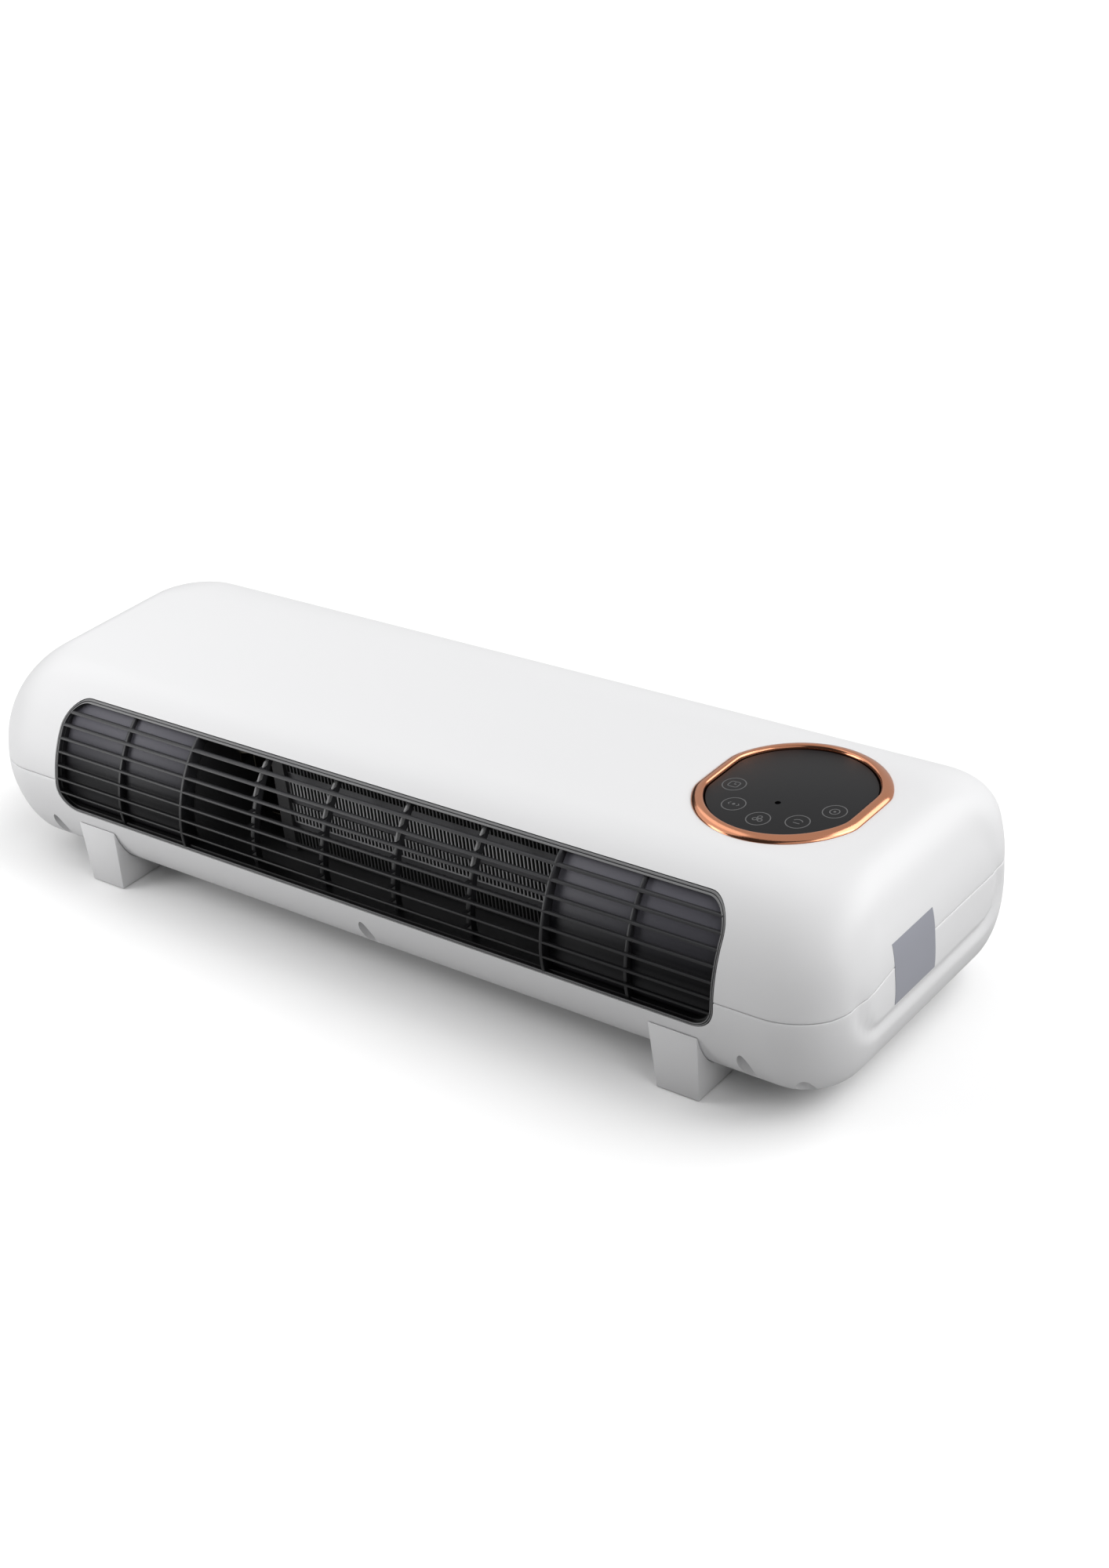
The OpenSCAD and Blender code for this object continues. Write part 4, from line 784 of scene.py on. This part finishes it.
# A plain solid of the body's form set in by w, to trim pieces that stand inside the walls
def innerForm(w, stepAngle=9):
    columns = makeColumns(cornerSteps=8, longSteps=4, leftSteps=2, rightSteps=2)
    turns = [math.radians(a) for a in range(0, 90, stepAngle)]
    low, high = body["bottom"] + w, body["top"] - w
    levels = [low + (body["baseRoundZ"] - w) * (1 - math.sin(a)) for a in turns]
    levels += [high - (body["frontRoundZ"] - w) * (1 - math.sin(a)) for a in turns]
    levels = sorted(levels + [low, high])
    return loft([[columnPlace(c, z, w) for c in columns] for z in levels])


def trimmed(name, solid, cutters):
    obj = asObject(name, solid, "whiteShell")
    return carve(carve(obj, [innerForm(back["trimInset"])], "INTERSECT"), cutters)


# A screw well runs out toward the nearer long side, so its mouth is an oval on the curve
def wellOutline(x, y, radius):
    low, high = sorted((y, y + math.copysign(back["wellStretch"], y)))
    return arcPoints(x, high, radius, 0, 180, 16) + arcPoints(x, low, radius, 180, 360, 16)


# A block and a rod that run in from the left end, at the height of the switch and the gland
def endBlock(x0, x1, y, halfY, halfZ):
    z = back["sideZ"]
    return boxAt(x0, x1, y - halfY, y + halfY, z - halfZ, z + halfZ)


def endRod(x0, x1, y, radius):
    return prism(roundOutline(y, back["sideZ"], radius), 0, x0, x1)


# Bosses round the screw wells, and the blocks behind the two seats of the left end
def rearInserts():
    radius, top, fit, wall = back["wellRadius"], back["wellTop"], back["fit"], back["seatWall"]
    bosses = joined([prism(wellOutline(x, y, radius + back["bossWall"]), 2, back["bossLow"],
                           top + back["bossOver"]) for x, y in back["wells"]])
    bores = [prism(wellOutline(x, y, radius - fit), 2, back["wellLow"], top) for x, y in back["wells"]]
    seat, thick, past = back["seatX"], back["seatThick"], back["past"]
    y, halfY, halfZ = back["switchY"], back["pocketHalfY"], back["pocketHalfZ"]
    block = endBlock(back["endX"], seat + thick, y, halfY + wall, halfZ + wall)
    sink = endBlock(back["outsideX"], seat, y, halfY - fit, halfZ - fit)
    window = endBlock(seat - past, seat + thick + past, y, back["openHalfY"], back["openHalfZ"])
    y, radius = back["glandY"], back["glandRadius"]
    collar = endRod(back["endX"], seat + thick, y, radius + wall)
    dish = endRod(back["outsideX"], seat, y, radius - fit)
    hole = endRod(seat - past, seat + thick + past, y, back["glandHole"])
    return [trimmed("bosses", bosses, bores), trimmed("switch-seat", block, [sink, window]),
            trimmed("gland-seat", collar, [dish, hole])]


def wallHoles():
    low, top = back["wellLow"], back["wellTop"] - back["wellShort"]
    holes = [prism(wellOutline(x, y, back["wellRadius"]), 2, low, top) for x, y in back["wells"]]
    holes.append(endBlock(back["outsideX"], back["wallX"], back["switchY"],
                          back["pocketHalfY"], back["pocketHalfZ"]))
    holes.append(endRod(back["outsideX"], back["wallX"], back["glandY"], back["glandRadius"]))
    return holes


carve(rearCover, wallHoles())


# Edges cut by an opening are broken, and the skin keeps the normals it had before the cuts
def breakEdges(obj, width=0.3, angle=55):
    bm = bmesh.new()
    bm.from_mesh(obj.data)
    cleanMesh(bm)
    soften(bm, width * mm, angle)
    bm.to_mesh(obj.data)
    bm.free()


def keepNormals(obj, reference, tolerance=0.012, crease=30, faceMatch=0.9, cornerMatch=0.8):
    reference.calc_loop_triangles()
    points = [v.co for v in reference.vertices]
    corners = [tuple(t.vertices) for t in reference.loop_triangles]
    tree = BVHTree.FromPolygons(points, corners)
    reference.shade_smooth()
    smooth = [v.normal for v in reference.vertices]
    mesh = obj.data
    mesh.shade_smooth()
    mesh.set_sharp_from_angle(angle=math.radians(crease))
    normals = [Vector(c.vector) for c in mesh.corner_normals]
    for face in mesh.polygons:
        spot, facing, index, gap = tree.find_nearest(face.center)
        if gap > tolerance * mm or facing.dot(face.normal) < faceMatch:
            continue
        for loop in face.loop_indices:
            place = mesh.vertices[mesh.loops[loop].vertex_index].co
            spot, facing, index, gap = tree.find_nearest(place)
            trio = corners[index]
            shares = poly_3d_calc([points[i] for i in trio], spot)
            normal = sum((smooth[i] * s for i, s in zip(trio, shares)), Vector())
            if normal.dot(face.normal) > cornerMatch:
                normals[loop] = normal.normalized()
    mesh.normals_split_custom_set(normals)


for cover, reference in ((frontCover, frontNormals), (rearCover, rearNormals)):
    breakEdges(cover)
    keepNormals(cover, reference)
standsFor(frontCover, "housing", "white_shell", "front_cover")
inserts = rearInserts()
standsFor(rearCover, "housing", "white_shell", "rear_cover")
for insert in inserts:
    standsFor(shadeSmooth(insert), "housing", "white_shell")
print("covers done:", len(frontCover.data.polygons), len(rearCover.data.polygons))


# Outlet grille: a frame that follows the curve of the front, seven bars and eight upright ribs.
# The points of the frame's face are insets from the opening's edge and depths behind the curve.
grille = {
    "frame": 2.2, "frameDepth": 8.0, "flange": 1.6, "flangeThick": 2.0, "innerDepth": 2.0,
    "face": [(0, 0.7), (0.2, 0.5), (1.4, 0.5), (1.5, 1.8)],
    "bars": 7, "barThick": 1.0, "barRear": 0.5, "barDepth": 1.8, "barRound": 0.3, "barCut": 0.12,
    "barSink": 0.1, "ribs": 8, "outer": (1, 8), "middle": (3, 4, 5, 6), "cell": 41.2, "ribInset": 1.1,
    "ribThick": 1.6, "ribNear": 0.05, "ribLap": 0.6, "ribSoft": 0.2, "ribAngle": 60,
    "midThick": 2.4, "setback": 4.5, "linkSide": 0.2, "linkLap": 0.8, "linkDeep": 1.5,
    "blankSet": 4.3, "blankThick": 1.5, "blankSteps": 32,
}


# A ring round the opening, from a profile of insets and depths
def grilleLoft(profile):
    hole, rings = openings["grille"], []
    for inset, depth in profile:
        outline = roundedOutline(hole["x0"] + inset, hole["x1"] - inset, hole["z0"] + inset,
                                 hole["z1"] - inset, max(hole["round"] - inset, 1), sideSteps=16)
        rings.append([Vector((x, frontY(z) + depth, z)) for x, z in outline])
    return loft(rings, "join")


def grilleFrame():
    wide, deep = grille["frame"], grille["frameDepth"]
    flange, shelf = -grille["flange"], deep - grille["flangeThick"]
    return grilleLoft([(flange, deep), (flange, shelf), (0, shelf), *grille["face"],
                       (wide, grille["innerDepth"]), (wide, deep)])


# Two thin rounded lips stand on the face of the frame with a groove between them. They are lighter grey
# than the frame, a painted highlight for its two light edge lines.
lips = {"starts": (0.1, 0.92), "width": 0.42, "round": 0.1, "deep": 0.7}


def frameLip(start):
    end, soft, deep = start + lips["width"], lips["round"], lips["deep"]
    return grilleLoft([(start, deep), (start, soft), (start + soft, 0),
                       (end - soft, 0), (end, soft), (end, deep)])


# Bar heights are evenly spaced along the curve, counted down from the upper edge
def barHeights(samples=100):
    hole = openings["grille"]
    step = (hole["z1"] - hole["z0"]) / samples
    heights = [hole["z1"] - i * step for i in range(samples + 1)]
    runs = [0.0]
    for a, b in zip(heights, heights[1:]):
        runs.append(runs[-1] + math.hypot(step, frontY(a) - frontY(b)))
    inner = runs[-1] - 2 * grille["frame"]
    found = []
    for i in range(1, grille["bars"] + 1):
        want = grille["frame"] + i * inner / (grille["bars"] + 1)
        k = next(i for i, run in enumerate(runs) if run >= want)
        share = (want - runs[k - 1]) / (runs[k] - runs[k - 1])
        found.append(heights[k - 1] - step * share)
    return found


barLevels = barHeights()


# How far out a bar runs at height z, into the frame and within its round corners
def frameReach(z):
    hole, inset = openings["grille"], 0
    radius, near = hole["round"], min(z - hole["z0"], hole["z1"] - z)
    if near < radius:
        inset = radius - math.sqrt(radius ** 2 - (radius - near) ** 2)
    return hole["x1"] - inset - grille["frame"] / 2


def grilleBars():
    half, rear, deep = grille["barThick"] / 2, grille["barRear"] / 2, grille["barDepth"]
    soft, cut, sink = grille["barRound"], grille["barCut"], grille["barSink"]
    steps = [(-half, soft), (-half + cut, sink), (-half + soft, 0), (half - soft, 0),
             (half - cut, sink), (half, soft), (rear, deep), (-rear, deep)]
    parts = []
    for z in barLevels:
        profile = [(frontY(z + up) + depth, z + up) for up, depth in steps]
        parts.append(prism(profile, 0, -frameReach(z), frameReach(z)))
    return parts


# A rib seen from the side is a strip of the front curve; near and deep are its two depths
def ribStrip(x, thick, near, deep, z0, z1, steps=24):
    heights = [z0 + (z1 - z0) * i / steps for i in range(steps + 1)]
    outer = [(frontY(z) + near, z) for z in heights]
    inner = [(frontY(z) + deep, z) for z in heights[::-1]]
    bm = prism(outer + inner, 0, x - thick / 2, x + thick / 2)
    soften(bm, grille["ribSoft"], grille["ribAngle"])
    return bm


def ribX(k):
    return (k - (grille["ribs"] + 1) / 2) * grille["cell"]


# A short link ties a bar to a middle rib, which stands set back from the bars
def ribLink(x, z):
    half, thick = grille["midThick"] / 2 - grille["linkSide"], grille["barRear"] / 2
    near = frontY(z) + grille["barDepth"] - grille["linkLap"]
    deep = frontY(z) + grille["setback"] + grille["linkDeep"]
    return boxAt(x - half, x + half, near, deep, z - thick, z + thick)


def grilleRibs():
    hole, deep = openings["grille"], grille["frameDepth"]
    z0, z1 = hole["z0"] + grille["ribInset"], hole["z1"] - grille["ribInset"]
    parts = []
    for k in range(1, grille["ribs"] + 1):
        x = ribX(k)
        if k in grille["outer"]:        # behind the bars, in front of the blank panels
            parts.append(ribStrip(x, grille["ribThick"], grille["barDepth"] - grille["ribLap"],
                                  grille["blankSet"] - openings["gap"], z0, z1))
        elif k in grille["middle"]:
            parts.append(ribStrip(x, grille["midThick"], grille["setback"], deep, z0, z1))
            parts += [ribLink(x, z) for z in barLevels]
        else:
            parts.append(ribStrip(x, grille["ribThick"], grille["ribNear"], deep, z0, z1))
    return parts


grilleParts = joined([grilleFrame()] + grilleBars() + grilleRibs())
addPiece("outlet-grille", grilleParts, "darkGrille", "dark_grille", "outlet_grille", angle=40)
lipParts = joined([frameLip(start) for start in lips["starts"]])
addPiece("frame-lips", lipParts, "grilleLip", "dark_grille", angle=40)


# Painted highlight: light grey strips stand on the middle ribs between the frame and the upper three bars,
# where the ribs' rounded fronts catch the light
highlightStrips = {"rows": 3, "half": 0.55, "side": 0.4, "near": 2.2, "deep": 4.6, "gap": 0.9, "drop": 0.5,
        "lap": 0.4, "steps": 4}


def ribHighlightStrips():
    levels = [openings["grille"]["z1"] - grille["frame"] + highlightStrips["lap"]] + barLevels
    parts = []
    for k in grille["middle"]:
        x = ribX(k) + highlightStrips["side"]
        for upper, lower in zip(levels[:highlightStrips["rows"]], levels[1:]):
            z0, z1 = lower + highlightStrips["gap"] - highlightStrips["drop"], upper - highlightStrips["gap"] - highlightStrips["drop"]
            parts.append(ribStrip(x, 2 * highlightStrips["half"], highlightStrips["near"], highlightStrips["deep"], z0, z1, highlightStrips["steps"]))
    return parts


addPiece("rib-pins", joined(ribHighlightStrips()), "ribPin", "dark_grille")


# Blank panels close the two outer cells at each end
def blankSheet(name, x0, x1, nodeName):
    hole, inset = openings["grille"], grille["frame"] + openings["gap"]
    near, deep = grille["blankSet"], grille["blankSet"] + grille["blankThick"]
    z0, z1 = hole["z0"] + inset, hole["z1"] - inset
    sheet = ribStrip((x0 + x1) / 2, x1 - x0, near, deep, z0, z1, grille["blankSteps"])
    addPiece(name, sheet, "blankPanel", "blank_panel", nodeName)


blankEdge = openings["grille"]["x1"] - grille["frame"] - openings["gap"]
blankInner = ribX(7) + grille["ribThick"] / 2 + openings["gap"]
blankSheet("blank-left", -blankEdge, -blankInner, "blank_left")
blankSheet("blank-right", blankInner, blankEdge, "blank_right")
print("outlet grille done")


# The folded fins of the heater core are dark with cut edges in front. The edges of the two middle rows are
# painted light and those of the outer rows painted shade: one edge colour in a lit and a shaded copy.
fins = {"rows": 4, "tube": 3.0, "legs": 80, "sheet": 0.35, "edge": 0.6, "proud": 0.12, "deep": 0.25}


def finEdges(rows):
    corners = [v.co / mm for v in nodes["core_fins"].data.vertices]
    x0, y0, z0 = (min(c[i] for c in corners) for i in range(3))
    x1, z1 = (max(c[i] for c in corners) for i in (0, 2))
    high = (z1 - z0 - (fins["rows"] - 1) * fins["tube"]) / fins["rows"]
    step = (x1 - x0 - fins["sheet"]) / (fins["legs"] - 1)
    near, deep, half = y0 - fins["proud"], y0 + fins["deep"], fins["edge"] / 2
    parts = []
    for row in rows:
        z = z0 + row * (high + fins["tube"])
        parts.append(boxAt(x0, x1, near, deep, z, z + fins["edge"]))
        for leg in range(fins["legs"]):
            x = x0 + fins["sheet"] / 2 + leg * step
            parts.append(boxAt(x - half, x + half, near, deep, z + fins["edge"], z + high))
    return parts


# The middle rows get the painted light, the outer rows the painted shade
for edgeName, rows, finish in (("fin-edges-middle", (1, 2), "finEdge"),
                               ("fin-edges-outer", (0, 3), "finShade")):
    addPiece(edgeName, joined(finEdges(rows)), finish, "fin_metal", angle=0)


# Control panel: copper ring, dark glass with five key marks and the eye of the receiver.
# The profiles are insets from the plan of the ring and heights over the cover.
ringProfile = [(0, -1.5), (0, 0.1), (0.1, 0.3), (0.35, 0.62), (0.8, 0.98), (1.5, 1.38), (2.3, 1.7),
               (3.1, 1.91), (3.8, 2.0), (4.3, 1.96), (4.7, 1.8), (5.0, 1.5), (5.2, 1.1), (5.32, 0.6),
               (5.36, -1.5)]
glassProfile = [(5.75, -1.2), (5.75, 0.1), (5.9, 0.4), (6.15, 0.5)]
glassTop = body["top"] + glassProfile[-1][1]


def barrelLoft(profile, ends):
    return loft([[Vector((x, y, body["top"] + height)) for x, y in barrelOutline(inset)]
                 for inset, height in profile], ends)


copperRing, touchGlass = barrelLoft(ringProfile, "join"), barrelLoft(glassProfile, "fill")
addPiece("copper-ring", copperRing, "copperTrim", "copper_trim", "copper_ring", angle=50)
addPiece("touch-glass", touchGlass, "panelGlass", "panel_glass", "touch_glass", angle=30)

keys = {"arc": 24.5, "first": 194.0, "step": 38.0, "radius": 4.9, "line": 0.45,
        "lift": 0.03, "sink": 0.1}


# A thin flat line on the glass through the given places
def stroke(points, closed=False):
    low, high = glassTop - keys["sink"], glassTop + keys["lift"]
    left, right, width, last = [], [], keys["line"], len(points) - 1
    for i, (x, y) in enumerate(points):
        ahead = points[(i + 1) % len(points)] if closed or i < last else points[i]
        behind = points[i - 1] if closed or i > 0 else points[i]
        dx, dy = ahead[0] - behind[0], ahead[1] - behind[1]
        length = math.hypot(dx, dy) or 1
        for side, sign in ((left, 1), (right, -1)):
            side.append((x - sign * dy / length * width / 2, y + sign * dx / length * width / 2))
    if closed:
        return loft([[Vector((x, y, z)) for x, y in side]
                     for side, z in ((left, low), (left, high), (right, high), (right, low))], "join")
    return prism(left + right[::-1], 2, low, high)


def disc(x, y, radius):
    return prism(roundOutline(x, y, radius, 16), 2, glassTop - keys["sink"], glassTop + keys["lift"])


# Clock face in a soft square
def clockSign(x, y):
    sizes = {"halfX": 2.2, "halfY": 2.0, "round": 0.9, "longHand": 1.3, "shortHand": 1.1}
    halfX, halfY = sizes["halfX"], sizes["halfY"]
    square = roundedOutline(x - halfX, x + halfX, y - halfY, y + halfY, sizes["round"], 4)
    return [stroke(square, True), stroke([(x, y + sizes["longHand"]), (x, y), (x + sizes["shortHand"], y)])]


# Dot between two arrow heads
def swingSign(x, y):
    sizes = {"dot": 0.7, "near": 1.7, "tip": 2.5, "half": 0.9}
    near, tip, half = sizes["near"], sizes["tip"], sizes["half"]
    return [disc(x, y, sizes["dot"])] + [
        stroke([(x + side * near, y + half), (x + side * tip, y), (x + side * near, y - half)])
        for side in (-1, 1)]


# Fan with three blades
def fanSign(x, y):
    sizes = {"turns": (90, 210, 330), "reach": 1.35, "blade": 0.95, "hub": 0.4}
    blades = []
    for turn in sizes["turns"]:
        along, across = math.cos(math.radians(turn)), math.sin(math.radians(turn))
        midX, midY = x + sizes["reach"] * along, y + sizes["reach"] * across
        blades.append(stroke(roundOutline(midX, midY, sizes["blade"], 12), True))
    return blades + [disc(x, y, sizes["hub"])]


# Swinging flap
def flapSign(x, y):
    sizes = {"drop": 0.6, "radius": 2.3, "start": 30, "end": 150, "half": 1.5, "foot": 1.1}
    return [stroke(arcPoints(x, y - sizes["drop"], sizes["radius"], sizes["start"], sizes["end"], 10)),
            stroke([(x - sizes["half"], y - sizes["foot"]), (x + sizes["half"], y - sizes["foot"])])]


# Dot in a circle
def powerSign(x, y):
    sizes = {"radius": 2.0, "dot": 0.6}
    return [stroke(roundOutline(x, y, sizes["radius"], 20), True), disc(x, y, sizes["dot"])]


def keyMarks():
    parts = []
    for i, makeSign in enumerate((clockSign, swingSign, fanSign, flapSign, powerSign)):
        turn = math.radians(keys["first"] + keys["step"] * i)
        x = panel["x"] + keys["arc"] * math.cos(turn)
        y = panel["y"] + keys["arc"] * math.sin(turn)
        parts.append(stroke(roundOutline(x, y, keys["radius"], 40), True))
        parts += makeSign(x, y)
    return parts


addPiece("key-marks", joined(keyMarks()), "keyMark", "panel_glass", angle=0)
eye = {"x": panel["x"], "y": panel["y"] - 10.3, "radius": 1.25}
addPiece("receiver-eye", disc(eye["x"], eye["y"], eye["radius"]), "eyeBlack", "black_part", angle=0)
print("control panel done")


# Blank rating plate on the right end
label = {"y0": -30.8, "y1": -0.8, "z0": 40.7, "z1": 68.2, "proud": 0.15, "thick": 0.25, "steps": 24}


def endX(y, z):
    return body["halfLength"] - body["skin"] - sideIn(z, 0, "endRoundX", "endRoundZ") - scoopDepth(y, z)


def labelSheet():
    bm = bmesh.new()
    steps = label["steps"]
    bmesh.ops.create_grid(bm, x_segments=steps, y_segments=steps, size=0.5)
    for v in bm.verts:
        y = label["y0"] + (label["y1"] - label["y0"]) * (v.co.x + 0.5)
        z = label["z0"] + (label["z1"] - label["z0"]) * (v.co.y + 0.5)
        v.co = Vector((endX(y, z) + label["proud"], y, z))
    bmesh.ops.recalc_face_normals(bm, faces=bm.faces)
    if bm.faces[0].normal.x < 0:
        bmesh.ops.reverse_faces(bm, faces=bm.faces)
    bmesh.ops.solidify(bm, geom=bm.faces, thickness=label["thick"])
    return bm


addPiece("rating-label", labelSheet(), "labelFoil", "label_foil", "rating_label")

# Pieces whose CAD form is right as it is get merged points and broken edges: body and width of edge
dressedNodes = {
    "intake_grille": ("housing", 0.25),
    "left_foot": ("left_foot", 1.3),
    "right_foot": ("right_foot", 1.3),
    "switch_body": ("housing", 0.3),
    "power_rocker": ("rocker", 0.2),
    "cord_gland": ("housing", 0.4),
}
for nodeName, (bodyName, width) in dressedNodes.items():
    dressed(nodeName, bodyName, width)
print("dressed pieces done")


# Floor: pale to the eye, and less light thrown back up
floorPaper = {"size": 15.0, "thrown": (0.45, 0.45, 0.45, 1), "seen": (0.89, 0.89, 0.89, 1),
              "roughness": 0.9}


def makeFloor(values):
    bm = bmesh.new()
    bmesh.ops.create_grid(bm, x_segments=1, y_segments=1, size=values["size"])
    mesh = bpy.data.meshes.new("floor")
    bm.to_mesh(mesh)
    bm.free()
    floor = bpy.data.objects.new("floor", mesh)
    bpy.context.collection.objects.link(floor)
    material = bpy.data.materials.new("floorPaper")
    material.use_nodes = True
    tree = material.node_tree
    shader = tree.nodes["Principled BSDF"]
    path = tree.nodes.new("ShaderNodeLightPath")
    shade = mixColours(tree, path.outputs["Is Camera Ray"], values["thrown"], values["seen"])
    tree.links.new(shade, shader.inputs["Base Color"])
    shader.inputs["Roughness"].default_value = values["roughness"]
    mesh.materials.append(material)


makeFloor(floorPaper)
